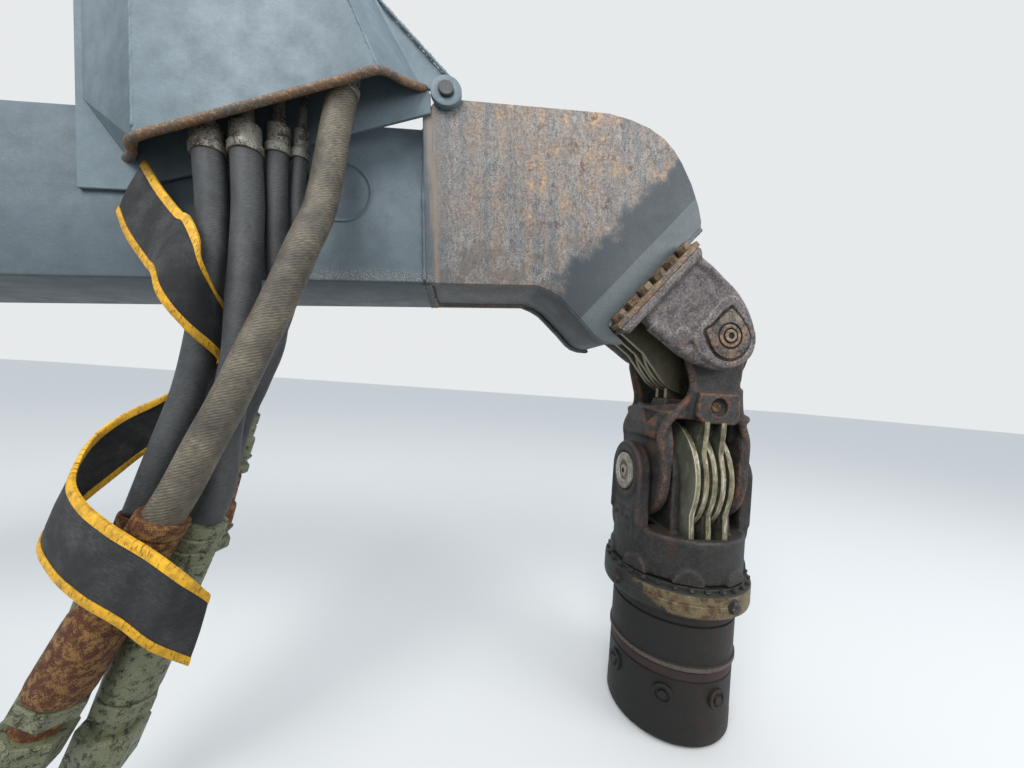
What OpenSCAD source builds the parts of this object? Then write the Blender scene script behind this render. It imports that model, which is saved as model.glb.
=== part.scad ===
/* [Boom] */
// angle by which the boom rises towards its tip, in degrees
boom_rise = 5; // [0:0.5:8]
// distance from the rear pin bore to the upper pin, along the frame
pin_x = 1900; // [1500:10:2400]
// height of the upper pin against the rear pin bore
pin_z = -45; // [-200:5:100]
// width of the boom over its side walls
boom_w = 188; // [160:1:220]
// width of the flat top of the tube
tube_top_w = 132; // [100:1:180]
// height of the tube
tube_h = 258; // [200:1:300]
// height of the fold in the tube wall above its bottom
fold_h = 129; // [60:1:180]
// wall of the extension tube
tube_wall = 8; // [5:0.5:12]
// bottom of the boom above the upper pin
boom_bot = 84; // [60:1:120]
// tube behind the rear pin bore
tube_tail = 105; // [60:5:200]
// radius of the rear pin bore
rear_bore_r = 25; // [15:1:35]
// radius of the rear bosses
rear_boss_r = 46; // [35:1:60]
// how far a rear boss stands out of the tube
rear_boss_out = 3; // [1:0.5:5]

/* [Nose] */
// thickness of the nose side plates
nose_t = 12; // [8:1:20]
// thickness of the cover and the floor of the nose
cover_t = 10; // [6:1:16]
// how far the cover lies below the edge of the side plates
cover_in = 5; // [2:1:10]
// radius of the round recess in the side
recess_r = 46; // [30:1:60]
// distance of the end plate face from the upper pin
flange_d = 152; // [130:1:180]
// thickness of the boom end plate
end_t = 9; // [6:1:20]
// thickness of the hanger base plate
base_t = 11; // [8:1:30]
// depth of metal left under the flange bolts
bolt_floor = 1.5; // [1:0.5:4]
// distance of the flange bolts from the edge of the end plate
flange_edge = 13; // [12:1:18]
// end plate reach towards the back, measured along the slope
flange_lo = 128; // [110:1:180]
// end plate reach towards the front, measured along the slope
flange_hi = 68; // [60:1:120]
// bolts in each row at the sides of the flange
flange_bolts_n = 6; // [4:1:8]
// width across flats of the flange bolt heads
bolt_af = 24; // [18:1:36]

/* [Upper joint] */
// radius of the upper and the lower pin
pin_r = 25; // [18:0.5:35]
// running clearance of a pin in its bore
pin_gap = 0.05; // [0.01:0.01:0.1]
// radius of the hanger ears
ear_r = 56; // [48:1:70]
// outer face of the hanger ears from the middle
ear_out = 115; // [100:1:125]
// radius of the pin caps
cap_r = 35; // [30:1:45]
// thickness of the pin caps
cap_t = 4; // [3:1:14]

/* [Brake packs] */
// thickness of a steel brake disc
disc_t = 10; // [8:0.5:14]
// thickness of a brake lining
lining_t = 5; // [2:0.5:6]
// gap between a lining and the next disc
disc_gap = 0.6; // [0.3:0.1:1]
// radius of the brake discs
disc_r = 106; // [90:1:112]
// number of brake discs held by the link in each pack
link_discs = 2; // [1:1:3]
// half width of the tabs that hold the discs
tab_w = 98; // [60:1:100]
// half width of the link's tabs in the upper pack
link_tab_w = 50; // [30:1:70]
// how far the upper tabs reach towards the top of the hanger
tab_up = 62; // [50:1:68]
// thickness of the inner ears beside each pack
inner_ear_t = 18; // [12:1:22]
// radius of the inner ears
inner_ear_r = 74; // [60:1:80]
// clearance between an ear and the next one along the pin
side_gap = 4; // [2:0.5:6]

/* [Link] */
// distance between the upper and the lower pin
link_l = 256; // [200:1:300]
// thickness of a link ear
link_ear_t = 22; // [16:1:34]
// radius of the link ears
link_ear_r = 82; // [70:1:90]
// radius of the link's middle body
link_body = 54; // [46:1:66]

/* [Rotator] */
// outer face of the yoke ears from the middle
yoke_out = 115; // [105:1:120]
// radius of the yoke ears
yoke_ear_r = 58; // [50:1:66]
// radius of the yoke base
base_r = 117; // [110:1:124]
// height of the yoke base under the lower pin
yoke_base = 90; // [86:1:100]
// radius of the toothed ring
ring_r = 130; // [110:1:145]
// height of the ring
ring_h = 52; // [40:1:70]
// ring top under the lower pin
ring_top = 165; // [150:1:180]
// small bolts on top of the ring
ring_bolts_n = 26; // [12:2:32]
// radius of the rotator body
body_r = 109; // [90:1:120]
// how far the lip at the foot of the body stands out
lip_out = 3; // [1:0.5:6]
// bottom of the rotator body under the lower pin
body_bot = 312; // [290:1:330]
// bottom of the rotator foot under the lower pin
foot_bot = 438; // [420:1:480]
// radius of the rotator shaft
shaft_r = 62; // [50:1:80]
// gap between the body and the foot
foot_gap = 1; // [0.5:0.5:3]
// pitch circle radius of the foot bolts
foot_pcd_r = 94; // [80:1:100]
// hole radius of the foot bolts
foot_hole_r = 9; // [6:0.5:12]
// number of foot bolt holes
foot_holes = 12; // [6:1:16]

/* [Hose box] */
// sheet thickness of the hose box
box_t = 6; // [4:0.5:8]
// how far the front of the box stands from the middle of the boom
box_y = 169; // [150:1:200]
// top of the box above the upper pin
box_top = 620; // [560:5:680]
// bore radius of the lug on the box
lug_bore_r = 11; // [8:0.5:14]

/* [Hoses] */
// outer diameter of the large hoses
hose_d = 38; // [30:1:44]
// outer diameter of the middle hose
hose_mid_d = 28; // [24:1:36]
// outer diameter of the small hose
hose_small_d = 18; // [12:1:22]
// outer diameter of the steel hose ends
end_d = 49; // [44:1:60]
// width of the strap
strap_w = 82; // [60:1:120]
// thickness of the strap
strap_t = 4; // [3:0.5:8]

/* [Hidden] */
half_w = boom_w / 2;
fold_z = boom_bot + fold_h;
tube_top = boom_bot + tube_h;
fixed_discs = link_discs + 1;
disc_step = disc_t + lining_t + disc_gap;
pack = disc_t + 2 * link_discs * disc_step;
inner_in = pack / 2 + side_gap;
inner_out = inner_in + inner_ear_t;
link_in = inner_out + side_gap;
link_out = link_in + link_ear_t;
ear_in = link_out + side_gap - 1;
bolt_y = half_w + bolt_af / 2;
flange_w = 2 * (bolt_y + flange_edge);
bridge_top = disc_r + 5;
bridge_bot = link_l - disc_r - 5;
low_z = -link_l;
boss_h = bridge_bot - bridge_top + 15;
boss_z = boss_h / 2 - bridge_bot;
nose_x = -499;
tail_x = -pin_x - tube_tail;
// outline of the nose side plates from the rear bottom corner round to the top
nose_line = [[nose_x, 84], [-320, 84], [-300, 76], [-284, 66], [-270, 52], [-246, 27], [-226, 4], [-214, -5],
  [-200, -10], [-180, -12], [-176, -9], [-201, 16], [-34, 183], [-33, 200], [-38, 226], [-50, 262], [-67, 297],
  [-80, 317], [-98, 336], [-124, 352], [-157, 364], [-197, 372], [-476, 374], [nose_x, 342]];
// middle lines of the hoses from the box down to their steel ends
path_1 = [[-778, -135, 248], [-771, -140, 172], [-770, -145, 95], [-776, -150, 14], [-789, -158, -71],
  [-811, -164, -142], [-842, -166, -228]];
path_2 = [[-731, -135, 251], [-726, -142, 173], [-724, -154, 94], [-723, -165, 36], [-724, -172, -30],
  [-732, -175, -80], [-741, -174, -125], [-750, -174, -196], [-766, -174, -236]];
path_3 = [[-696, -121, 262], [-699, -120, 182], [-701, -122, 123], [-699, -131, 3], [-721, -134, -65],
  [-745, -132, -117], [-770, -124, -192]];
path_4 = [[-669, -115, 262], [-675, -112, 189], [-680, -106, 126], [-692, -103, 52], [-715, -102, -14],
  [-740, -96, -72], [-755, -91, -110]];
path_5 = [[-603, -136, 345], [-613, -142, 280], [-627, -160, 169], [-643, -180, 105], [-667, -195, 30],
  [-690, -205, -29], [-714, -212, -88], [-734, -218, -132], [-757, -222, -182], [-776, -222, -215]];
end_l_1 = 124;
end_l_2 = 310;
end_l_3 = 108;
end_l_4 = 94;
end_l_5 = 300;
// middle line of the strap, with the direction across the strap at each point
strap_path = [[-889, -112, 203], [-857, -135, 160], [-811, -168, 114], [-779, -186, 79], [-765, -200, 44],
  [-758, -196, 12], [-753, -162, -8], [-754, -136, -30], [-773, -114, -52], [-808, -110, -85],
  [-853, -124, -119], [-880, -150, -146], [-891, -180, -172], [-890, -212, -204], [-856, -240, -226],
  [-812, -260, -248], [-775, -262, -275], [-748, -258, -305], [-734, -238, -335]];
strap_across = [[0.43, 0, 0.9], [0.58, -0.1, 0.79], [0.56, -0.1, 0.81], [0.5, 0, 0.85], [0, 0, 1],
  [0.03, 0, 1], [0.15, 0, 1], [0.3, 0, 1], [0.2, 0, 1], [0.15, 0, 1], [0.3, 0, 0.95], [0.15, 0, 1], [0.19, 0, 0.98],
  [0.41, 0, 0.91], [0.38, 0, 0.93], [0.36, 0, 0.93], [0.37, 0, 0.93], [0.45, 0, 0.89], [0.3, 0, 0.96]];

// outline of the upper pin caps, pointed at the top
cap_line = [[5, 46], [16, 35], [26, 22], [34, 7], [36, -6], [31, -19], [21, -30], [7, -37], [-8, -37], [-22, -30],
  [-32, -18], [-38, -4], [-41, 9], [-28, 17], [-12, 33]];

// places a child given about the upper pin in the boom's own frame
module on_boom() translate([pin_x, 0, pin_z]) rotate([0, -boom_rise, 0]) children();
// places a child given about the upper pin, hanging plumb
module on_pin() translate([pin_x, 0, pin_z]) children();
// places a child given about the lower pin
module on_low() translate([pin_x, 0, pin_z + low_z]) children();
// turns a flat outline in X and Z into a plate of a given thickness about the middle
module slab(t) rotate([90, 0, 0]) linear_extrude(t, center = true) children();
// blind holes through the end plate into the hanger base
module bolt_holes() for (s = [-1, 1], i = [0:flange_bolts_n - 1])
  translate([bolt_t(i), s * bolt_y, -flange_d - 1])
    cylinder(r = 8.2, h = 1 + end_t + base_t - bolt_floor, $fn = 24);
// turns to the slope of the end plate: local X runs up the slope, Z points to the pin
module on_flange() rotate([0, -45, 0]) rotate([180, 0, 0]) children();
module along_y(r, l) rotate([90, 0, 0]) cylinder(r = r, h = l, center = true, $fn = 64);
module along_x(r, l) rotate([0, 90, 0]) cylinder(r = r, h = l, center = true, $fn = 64);

function vsum(v, i = 0) = i < len(v) ? v[i] + vsum(v, i + 1) : [0, 0, 0];
function flat_normal(p) = vsum([for (i = [1:len(p) - 2]) cross(p[i] - p[0], p[i + 1] - p[0])]);
function turned(p) = [for (i = [len(p) - 1:-1:0]) p[i]];
// a flat sheet through corner points, thickened by a vector
module sheet(p0, v) {
  p = flat_normal(p0) * v > 0 ? p0 : turned(p0);
  n = len(p);
  polyhedron(points = concat(p, [for (q = p) q + v]),
    faces = concat([[for (i = [0:n - 1]) i]], [[for (i = [n - 1:-1:0]) i + n]],
      [for (i = [0:n - 1]) [(i + 1) % n, i, i + n, (i + 1) % n + n]]));
}

function unit(v) = v / norm(v);
function tangent(p, i) = unit(p[min(i + 1, len(p) - 1)] - p[max(i - 1, 0)]);
// a round tube swept along points, with a radius for each point
module sweep(p, r, sides = 10) {
  n = len(p);
  pts = [for (i = [0:n - 1]) let (t = tangent(p, i), a = unit(cross(t, [0, 1, 0.001])), b = cross(t, a))
    for (k = [0:sides - 1]) p[i] + r * (cos(360 * k / sides) * a + sin(360 * k / sides) * b)];
  polyhedron(points = pts, faces = concat([[for (k = [0:sides - 1]) k]],
    [[for (k = [sides - 1:-1:0]) (n - 1) * sides + k]],
    [for (i = [0:n - 2]) for (k = [0:sides - 1]) let (j = (k + 1) % sides)
      [i * sides + j, i * sides + k, (i + 1) * sides + k, (i + 1) * sides + j]]));
}
// a flat band swept along points, with the direction across it at each point
module band(p, across, w, t) {
  n = len(p);
  pts = [for (i = [0:n - 1]) let (d = tangent(p, i), f = unit(cross(d, across[i])), a = unit(cross(f, d)))
    each [p[i] - a * w / 2 - f * t / 2, p[i] + a * w / 2 - f * t / 2, p[i] + a * w / 2 + f * t / 2,
      p[i] - a * w / 2 + f * t / 2]];
  polyhedron(points = pts, faces = concat([[0, 3, 2, 1]], [[for (k = [0:3]) (n - 1) * 4 + k]],
    [for (i = [0:n - 2]) for (k = [0:3]) let (j = (k + 1) % 4) each
      [[i * 4 + k, i * 4 + j, (i + 1) * 4 + j], [i * 4 + k, (i + 1) * 4 + j, (i + 1) * 4 + k]]]));
}
// a straight round bar between two points
module bar(a, b, r, n = 16) {
  d = b - a;
  translate(a) rotate([0, acos(d[2] / norm(d)), atan2(d[1], d[0])]) cylinder(r = r, h = norm(d), $fn = n);
}
// the steel end of a hose: a ferrule, a barrel, a neck and a hexagon
module hose_end(p, l, ed) {
  m = len(p) - 1;
  u = unit(p[m] - p[m - 1]);
  bar(p[m], p[m] + u * l * 0.4, ed / 2 + 1.5);
  bar(p[m] + u * l * 0.38, p[m] + u * l * 0.7, ed / 2 + 5);
  bar(p[m] + u * l * 0.69, p[m] + u * l * 0.86, ed / 2 - 3);
  bar(p[m] + u * l * 0.84, p[m] + u * l, ed / 2 + 9, 6);
}
// a fitting from the rail down to the top of a hose
module socket(p, d) {
  u = unit(p[0] - p[1]);
  bar(p[0], p[0] + u * 34, d / 2 + 3);
  bar(p[0] + u, p[0] + u * (392 - p[0][2]) / u[2], d * 0.3);
}

function tube_shape(w, tw, z0, zf, z1) = [[-w, z0], [w, z0], [w, zf], [tw, z1], [-tw, z1], [-w, zf]];
module extension_tube() color("#46505a") difference() {
  on_boom() translate([tail_x, 0, 0]) rotate([90, 0, 90]) linear_extrude(nose_x - tail_x) difference() {
    polygon(tube_shape(half_w, tube_top_w / 2, boom_bot, fold_z, tube_top));
    polygon(tube_shape(half_w - tube_wall, tube_top_w / 2 - tube_wall * 0.6, boom_bot + tube_wall,
      fold_z, tube_top - tube_wall));
  }
  along_y(rear_boss_r, boom_w + 20);
}
module rear_bosses() color("#5a5f63") for (s = [-1, 1]) difference() {
  translate([0, s * (half_w - 12 + rear_boss_out / 2), 0]) along_y(rear_boss_r + 0.02, 24 + rear_boss_out);
  along_y(rear_bore_r, boom_w + 40);
}
module wear_pads() color("#b9b39a") on_boom() for (s = [-1, 1]) {
  translate([tail_x + 60, s * 50, boom_bot - 6]) cube([90, 60, 12], center = true);
  translate([tail_x + 60, s * 34, tube_top + 6]) cube([90, 50, 12], center = true);
}
module nose_plate(s) on_boom() translate([0, s * (half_w - nose_t / 2), 0]) slab(nose_t) polygon(nose_line);
module nose_plate_left() color("#4b4a4a") nose_plate(1);
module nose_plate_right() color("#4f4843") nose_plate(-1);
module nose_cover() color("#454e57") on_boom() slab(boom_w - 2 * nose_t) difference() {
  offset(delta = -cover_in) polygon(nose_line);
  offset(delta = -cover_in - cover_t) polygon(nose_line);
  polygon([[-600, 0], [-160, 0], [-160, 140], [-480, 338], [-600, 338]]);
  polygon([[-300, -60], [0, 240], [120, 240], [120, -60]]);
  polygon([[nose_x - 20, 60], [nose_x + 16, 60], [nose_x + 16, 420], [nose_x - 20, 420]]);
  polygon([[-300, -60], [-300, 120], [-240, 140], [-100, 280], [0, 200], [-150, -60]]);
}
module nose_floor() color("#33383d") on_boom() slab(boom_w - 2 * nose_t) difference() {
  offset(delta = -cover_in) polygon(nose_line);
  offset(delta = -cover_in - cover_t) polygon(nose_line);
  polygon([[-600, 200], [-190, 80], [-100, 100], [60, 160], [60, 460], [-600, 460]]);
  polygon([[nose_x - 20, 60], [nose_x + 6, 60], [nose_x + 6, 420], [nose_x - 20, 420]]);
}
module recess_cover() color("#3b444c") on_boom() translate([-622, -half_w - 1, 220]) along_y(recess_r, 2);

// the end plate of the boom and the flared band behind it
module nose_collar() color("#5c564f") on_boom() on_flange() difference() {
  translate([(flange_hi - flange_lo) / 2, 0, -flange_d + end_t / 2])
    cube([flange_lo + flange_hi, flange_w, end_t], center = true);
  bolt_holes();
}
function bolt_t(i) = -flange_lo + 18 + i * (flange_lo + flange_hi - 36) / (flange_bolts_n - 1);
module flange_bolts() color("#4a443d") on_boom() on_flange()
  for (s = [-1, 1], i = [0:flange_bolts_n - 1]) translate([bolt_t(i), s * bolt_y, 0]) {
    translate([0, 0, -flange_d - 12]) cylinder(r = bolt_af / sqrt(3), h = 12, $fn = 6);
    translate([0, 0, -flange_d]) cylinder(r = 8, h = end_t + base_t - bolt_floor - 1, $fn = 24);
  }

// the plate under the boom end plate, with its outer and inner ears
module hanger() color("#4c423f") on_boom() difference() {
  union() {
    on_flange() translate([(flange_hi - flange_lo) / 2, 0, -flange_d + end_t + base_t / 2])
      cube([flange_lo + flange_hi, flange_w, base_t], center = true);
    for (s = [-1, 1]) translate([0, s * (ear_out + ear_in) / 2, 0]) slab(ear_out - ear_in) {
      circle(r = ear_r, $fn = 64);
      polygon([[-142, 46], [-54, 134], [-16, 108], [22, 76], [46, 33], [50, 0], [-8, -56], [-48, -46], [-76, -31],
        [-106, -4], [-134, 13]]);
    }
    for (s = [-1, 1]) translate([0, s * (inner_in + inner_out) / 2, 0]) slab(inner_ear_t) {
      circle(r = inner_ear_r, $fn = 64);
      rotate(135) translate([0, 2 - inner_ear_r]) square([flange_d - end_t - base_t + 0.5, 2 * inner_ear_r - 4]);
    }
  }
  along_y(pin_r + pin_gap, 300);
  on_flange() bolt_holes();
}
module upper_pin() color("#6a6258") on_pin() along_y(pin_r, 2 * ear_out + 1);
module upper_pin_caps() color("#3f3a38") on_boom() for (s = [-1, 1]) {
  translate([0, s * (ear_out + cap_t / 2 + 0.5), 0]) slab(cap_t) polygon(cap_line);
  translate([0, s * (ear_out + cap_t + 3), 0]) rotate([90, 0, 0]) cylinder(r = 10, h = 6, center = true, $fn = 6);
}

// a disc square to Z with a tab towards +X, and a lining on the sides that are asked for
module disc(lo, hi, tab_l, bore, up, down) difference() {
  union() {
    cylinder(r = disc_r, h = disc_t, center = true, $fn = 96);
    translate([0, -lo, -disc_t / 2]) cube([tab_l, lo + hi, disc_t]);
    if (up) translate([0, 0, disc_t / 2 - 0.02]) cylinder(r = disc_r - 8, h = lining_t + 0.02, $fn = 96);
    if (down) translate([0, 0, -disc_t / 2 - lining_t]) cylinder(r = disc_r - 8, h = lining_t + 0.02, $fn = 96);
  }
  cylinder(r = bore, h = 60, center = true, $fn = 64);
}
module fixed_row(lo, hi, tab_l) for (i = [0:fixed_discs - 1])
  translate([0, 0, (2 * i - fixed_discs + 1) * disc_step])
    disc(lo, hi, tab_l, pin_r + pin_gap, i < fixed_discs - 1, i > 0);
module link_row(half, tab_l) for (i = [0:link_discs - 1])
  translate([0, 0, (2 * i - link_discs + 1) * disc_step]) disc(half, half, tab_l, pin_r + 1, false, false);
module upper_fixed_discs() color("#6f7468") on_boom() rotate([90, 0, 0]) rotate([0, 0, 135])
  fixed_row(tab_up, tab_w, flange_d - end_t - base_t);
module upper_link_discs() color("#858a80") on_pin() rotate([90, 0, 0]) rotate([0, 0, -90])
  link_row(link_tab_w, bridge_top);
module lower_link_discs() color("#858a80") on_low() rotate([0, 90, 0]) rotate([0, 0, 180])
  link_row(tab_w, disc_r + 5);
module lower_fixed_discs() color("#6f7468") on_low() rotate([0, 90, 0]) fixed_row(tab_w, tab_w, disc_r + 5);

// the link: plates across Y at the top, a bridge, and plates across X at the bottom
plate_line = [[-link_body, 0], [-link_body, -44], [-link_body + 3, -80], [-link_body - 5, 33 - bridge_bot],
  [-link_body - 22, 13 - bridge_bot], [-link_out, -bridge_bot], [link_out, -bridge_bot],
  [link_body + 22, 13 - bridge_bot], [link_body + 5, 33 - bridge_bot], [link_body - 3, -80], [link_body, -44],
  [link_body, 0]];
module link_casting() color("#463c3a") on_pin() difference() {
  union() {
    for (s = [-1, 1]) translate([0, s * (link_in + link_out) / 2, 0]) slab(link_ear_t) {
      circle(r = ear_r - 2, $fn = 64);
      polygon(plate_line);
    }
    for (s = [-1, 1]) translate([s * (link_in + link_out) / 2, 0, 0]) rotate([90, 0, 90])
      linear_extrude(link_ear_t - 0.2, center = true) {
        translate([0, low_z]) circle(r = link_ear_r, $fn = 96);
        polygon([[-link_out + 0.3, 6 - bridge_bot], [-link_out + 0.3, -bridge_bot - 45], [-link_ear_r, low_z],
          [link_ear_r, low_z], [link_out - 0.3, -bridge_bot - 45], [link_out - 0.3, 6 - bridge_bot]]);
      }
    slab(2 * link_out - 4) polygon([[-62, -bridge_top], [62, -bridge_top], [link_out - 1, boss_z - 6],
      [link_out - 1, -bridge_bot], [1 - link_out, -bridge_bot], [1 - link_out, boss_z - 6]]);
    for (s = [-1, 1]) translate([s * (link_out + 5), 0, -bridge_bot - 21.5]) cube([18, 110, 46], center = true);
    translate([0, -link_out - 6, boss_z]) cube([72, 14, boss_h], center = true);
  }
  along_y(pin_r + pin_gap, 300);
  translate([0, 0, low_z]) along_x(pin_r + pin_gap, 300);
  translate([0, -link_out - 12, boss_z]) along_y(16, 16);
}

// the yoke: a round base with outer and inner ears around the link's ears
module rotator_yoke() color("#3f3f3c") on_low() difference() {
  union() {
    for (s = [-1, 1]) translate([s * (ear_in + yoke_out) / 2, 0, 0]) rotate([90, 0, 90])
      linear_extrude(yoke_out - ear_in, center = true) {
        circle(r = yoke_ear_r, $fn = 64);
        polygon([[-yoke_ear_r, 0], [yoke_ear_r, 0], [yoke_ear_r + 8, -yoke_base - 20],
          [-yoke_ear_r - 8, -yoke_base - 20]]);
      }
    for (s = [-1, 1]) translate([s * (inner_in + inner_out) / 2, 0, 0]) rotate([90, 0, 90])
      linear_extrude(inner_ear_t, center = true) {
        circle(r = inner_ear_r, $fn = 64);
        polygon([[-inner_ear_r, 0], [inner_ear_r, 0], [inner_ear_r + 6, -yoke_base - 10],
          [-inner_ear_r - 6, -yoke_base - 10]]);
      }
    translate([0, 0, -ring_top]) cylinder(r = base_r, h = ring_top - yoke_base, $fn = 96);
  }
  along_x(pin_r + pin_gap, 300);
  translate([-inner_in, -tab_w - 0.2, -disc_r - 5]) cube([2 * inner_in, 2 * tab_w + 0.4, disc_r]);
}
module lower_pin() color("#6a6258") on_low() along_x(pin_r, 2 * yoke_out + 1);
module lower_pin_caps() color("#7a7d74") on_low() for (s = [-1, 1]) {
  translate([s * (yoke_out + cap_t / 2 + 0.5), 0, 0]) along_x(cap_r, cap_t);
  translate([s * (yoke_out + cap_t + 3), 0, 0]) rotate([0, 90, 0]) cylinder(r = 10, h = 6, center = true, $fn = 6);
}
module rotator_ring() color("#6b5f42") on_low() {
  translate([0, 0, -ring_top - ring_h]) cylinder(r = ring_r, h = ring_h, $fn = 96);
  for (i = [0:ring_bolts_n - 1]) rotate([0, 0, i * 360 / ring_bolts_n])
    translate([ring_r - 7, 0, -ring_top - 0.02]) cylinder(r = 5.5, h = 6, $fn = 6);
}
module rotator_body() color("#2f3331") on_low() difference() {
  union() {
    translate([0, 0, -body_bot]) cylinder(r = body_r, h = body_bot - ring_top - ring_h, $fn = 96);
    translate([0, 0, -body_bot]) cylinder(r = body_r + lip_out, h = 9, $fn = 96);
  }
  translate([0, 0, -ring_top - ring_h - 13]) difference() {
    cylinder(r = body_r + 10, h = 5, $fn = 96);
    translate([0, 0, -1]) cylinder(r = body_r - 3, h = 7, $fn = 96);
  }
  translate([0, 0, -body_bot - 10]) cylinder(r = shaft_r + pin_gap, h = 70, $fn = 96);
}
module port_plugs() color("#8b8f86") on_low() for (a = [-118, -62, 62, 118]) rotate([0, 0, a])
  translate([ring_r - 2, 0, -ring_top - ring_h / 2]) rotate([0, 90, 0]) cylinder(r = 11, h = 9, $fn = 6);
module rotator_foot() color("#343836") on_low() difference() {
  union() {
    translate([0, 0, -foot_bot]) cylinder(r = body_r, h = foot_bot - body_bot - foot_gap, $fn = 96);
    translate([0, 0, -body_bot - foot_gap - 1]) cylinder(r = shaft_r, h = 55, $fn = 96);
  }
  for (i = [0:foot_holes - 1]) rotate([0, 0, i * 360 / foot_holes]) translate([foot_pcd_r, 0, -foot_bot - 1])
    cylinder(r = foot_hole_r, h = 40, $fn = 32);
}
module foot_plugs() color("#8b8f86") on_low() for (a = [-100, 80]) rotate([0, 0, a])
  translate([body_r - 4, 0, -foot_bot + 60]) rotate([0, 90, 0]) cylinder(r = 15, h = 12, $fn = 24);

// corner points of the hose box in the boom's own frame
lip_l = [-843, -box_y, 236];
lip_r = [-547, -box_y, 347];
module hose_box() color("#434d57") on_boom() {
  sheet([lip_l, lip_r, [-586, -box_y, 444], [-670, -box_y, box_top], [-843, -box_y, box_top]], [0, box_t, 0]);
  sheet([lip_l, [-905, -half_w, 246], [-966, -half_w, 336], [-966, -half_w, box_top], [-843, -box_y, box_top]],
    [box_t * 0.5, box_t * 0.8, 0]);
}
module hose_box_side() color("#434d57") on_boom() {
  sheet([lip_r, [-586, -box_y, 444], [-571, -half_w, 524], [-449, -half_w, 395], [-494, -half_w, 381]],
    [-box_t, box_t * 0.3, 0]);
  sheet([[-586, -box_y, 444], [-670, -box_y, box_top], [-633, -half_w, box_top], [-571, -half_w, 524]],
    [-box_t, box_t * 0.3, 0]);
}
module hose_box_back() color("#434d57") on_boom() difference() {
  sheet([[-966, -half_w, 205], [-905, -half_w, 205], [-486, -half_w, 345], [-486, -half_w, 374], [-571, -half_w, 524],
    [-633, -half_w, box_top], [-966, -half_w, box_top]], [0, -box_t, 0]);
  translate([-770, -half_w, 510]) cube([230, 40, 130], center = true);
}
module box_lug() color("#3d4650") on_boom() translate([-462, -half_w - 6, 378]) difference() {
  slab(12) circle(r = 24, $fn = 48);
  along_y(lug_bore_r, 30);
}
module hose_rail() color("#5a5f63") on_boom() {
  translate([-715, -(half_w + box_y) / 2, 396]) cube([240, box_y - half_w - 2 * box_t, 10], center = true);
}
module hose_sockets() color("#6f6a60") on_boom() {
  socket(path_1, hose_d);
  socket(path_2, hose_d);
  socket(path_3, hose_mid_d);
  socket(path_4, hose_small_d);
  socket(path_5, hose_d);
}
module hose_1() color("#1d1d1f") on_boom() sweep(path_1, hose_d / 2);
module hose_2() color("#1d1d1f") on_boom() sweep(path_2, hose_d / 2);
module hose_3() color("#1d1d1f") on_boom() sweep(path_3, hose_mid_d / 2);
module hose_4() color("#1d1d1f") on_boom() sweep(path_4, hose_small_d / 2);
module hose_5() color("#4a423a") on_boom() sweep(path_5, hose_d / 2 + 1);
module hose_end_1() color("#6b4a36") on_boom() hose_end(path_1, end_l_1, end_d - 8);
module hose_end_2() color("#7c8377") on_boom() hose_end(path_2, end_l_2, end_d);
module hose_end_3() color("#6b4a36") on_boom() hose_end(path_3, end_l_3, 34);
module hose_end_4() color("#7c8377") on_boom() hose_end(path_4, end_l_4, 24);
module hose_end_5() color("#6b4a36") on_boom() hose_end(path_5, end_l_5, end_d);
module strap() color("#1b1b1d") on_boom() band(strap_path, strap_across, strap_w, strap_t);

extension_tube();
rear_bosses();
wear_pads();
nose_plate_left();
nose_plate_right();
nose_cover();
nose_floor();
recess_cover();
nose_collar();
flange_bolts();
hose_box();
hose_box_side();
hose_box_back();
box_lug();
hose_rail();
hose_sockets();
hose_1();
hose_2();
hose_3();
hose_4();
hose_5();
hose_end_1();
hose_end_2();
hose_end_3();
hose_end_4();
hose_end_5();
strap();
hanger();
upper_pin();
upper_pin_caps();
upper_fixed_discs();
link_casting();
upper_link_discs();
lower_link_discs();
rotator_yoke();
lower_pin();
lower_pin_caps();
lower_fixed_discs();
rotator_ring();
rotator_body();
port_plugs();
rotator_foot();
foot_plugs();
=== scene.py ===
import math
import bpy
from mathutils import Matrix, Vector


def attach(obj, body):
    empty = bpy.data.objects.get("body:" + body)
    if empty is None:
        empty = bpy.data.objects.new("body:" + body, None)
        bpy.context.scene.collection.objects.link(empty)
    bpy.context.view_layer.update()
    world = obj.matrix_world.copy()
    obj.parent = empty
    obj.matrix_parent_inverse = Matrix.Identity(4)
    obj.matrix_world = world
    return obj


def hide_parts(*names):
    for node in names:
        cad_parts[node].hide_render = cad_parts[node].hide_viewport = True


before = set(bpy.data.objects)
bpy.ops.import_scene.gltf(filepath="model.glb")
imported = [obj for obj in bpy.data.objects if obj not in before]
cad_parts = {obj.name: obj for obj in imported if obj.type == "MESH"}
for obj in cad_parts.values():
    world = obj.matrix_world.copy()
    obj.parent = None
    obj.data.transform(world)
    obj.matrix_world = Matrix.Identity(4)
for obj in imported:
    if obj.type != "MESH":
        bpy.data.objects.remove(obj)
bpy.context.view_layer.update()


# View, floor and light.
# The boom tip is seen from its hose side, from close by and level with the brake link, as
# someone standing at the crane sees it. Under it is a plain pale floor, around it soft light.
BOOM_RISE = math.radians(5)
UPPER_PIN = Vector((1.9, 0, -0.045))
BOOM = Matrix.Translation(UPPER_PIN) @ Matrix.Rotation(-BOOM_RISE, 4, "Y")
LINK = Matrix.Translation(UPPER_PIN)
LOWER_PIN = UPPER_PIN + Vector((0, 0, -0.256))
LOWER = Matrix.Translation(LOWER_PIN)
FOCAL_PIXELS = 370
IMAGE_PIXELS = 1024

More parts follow.
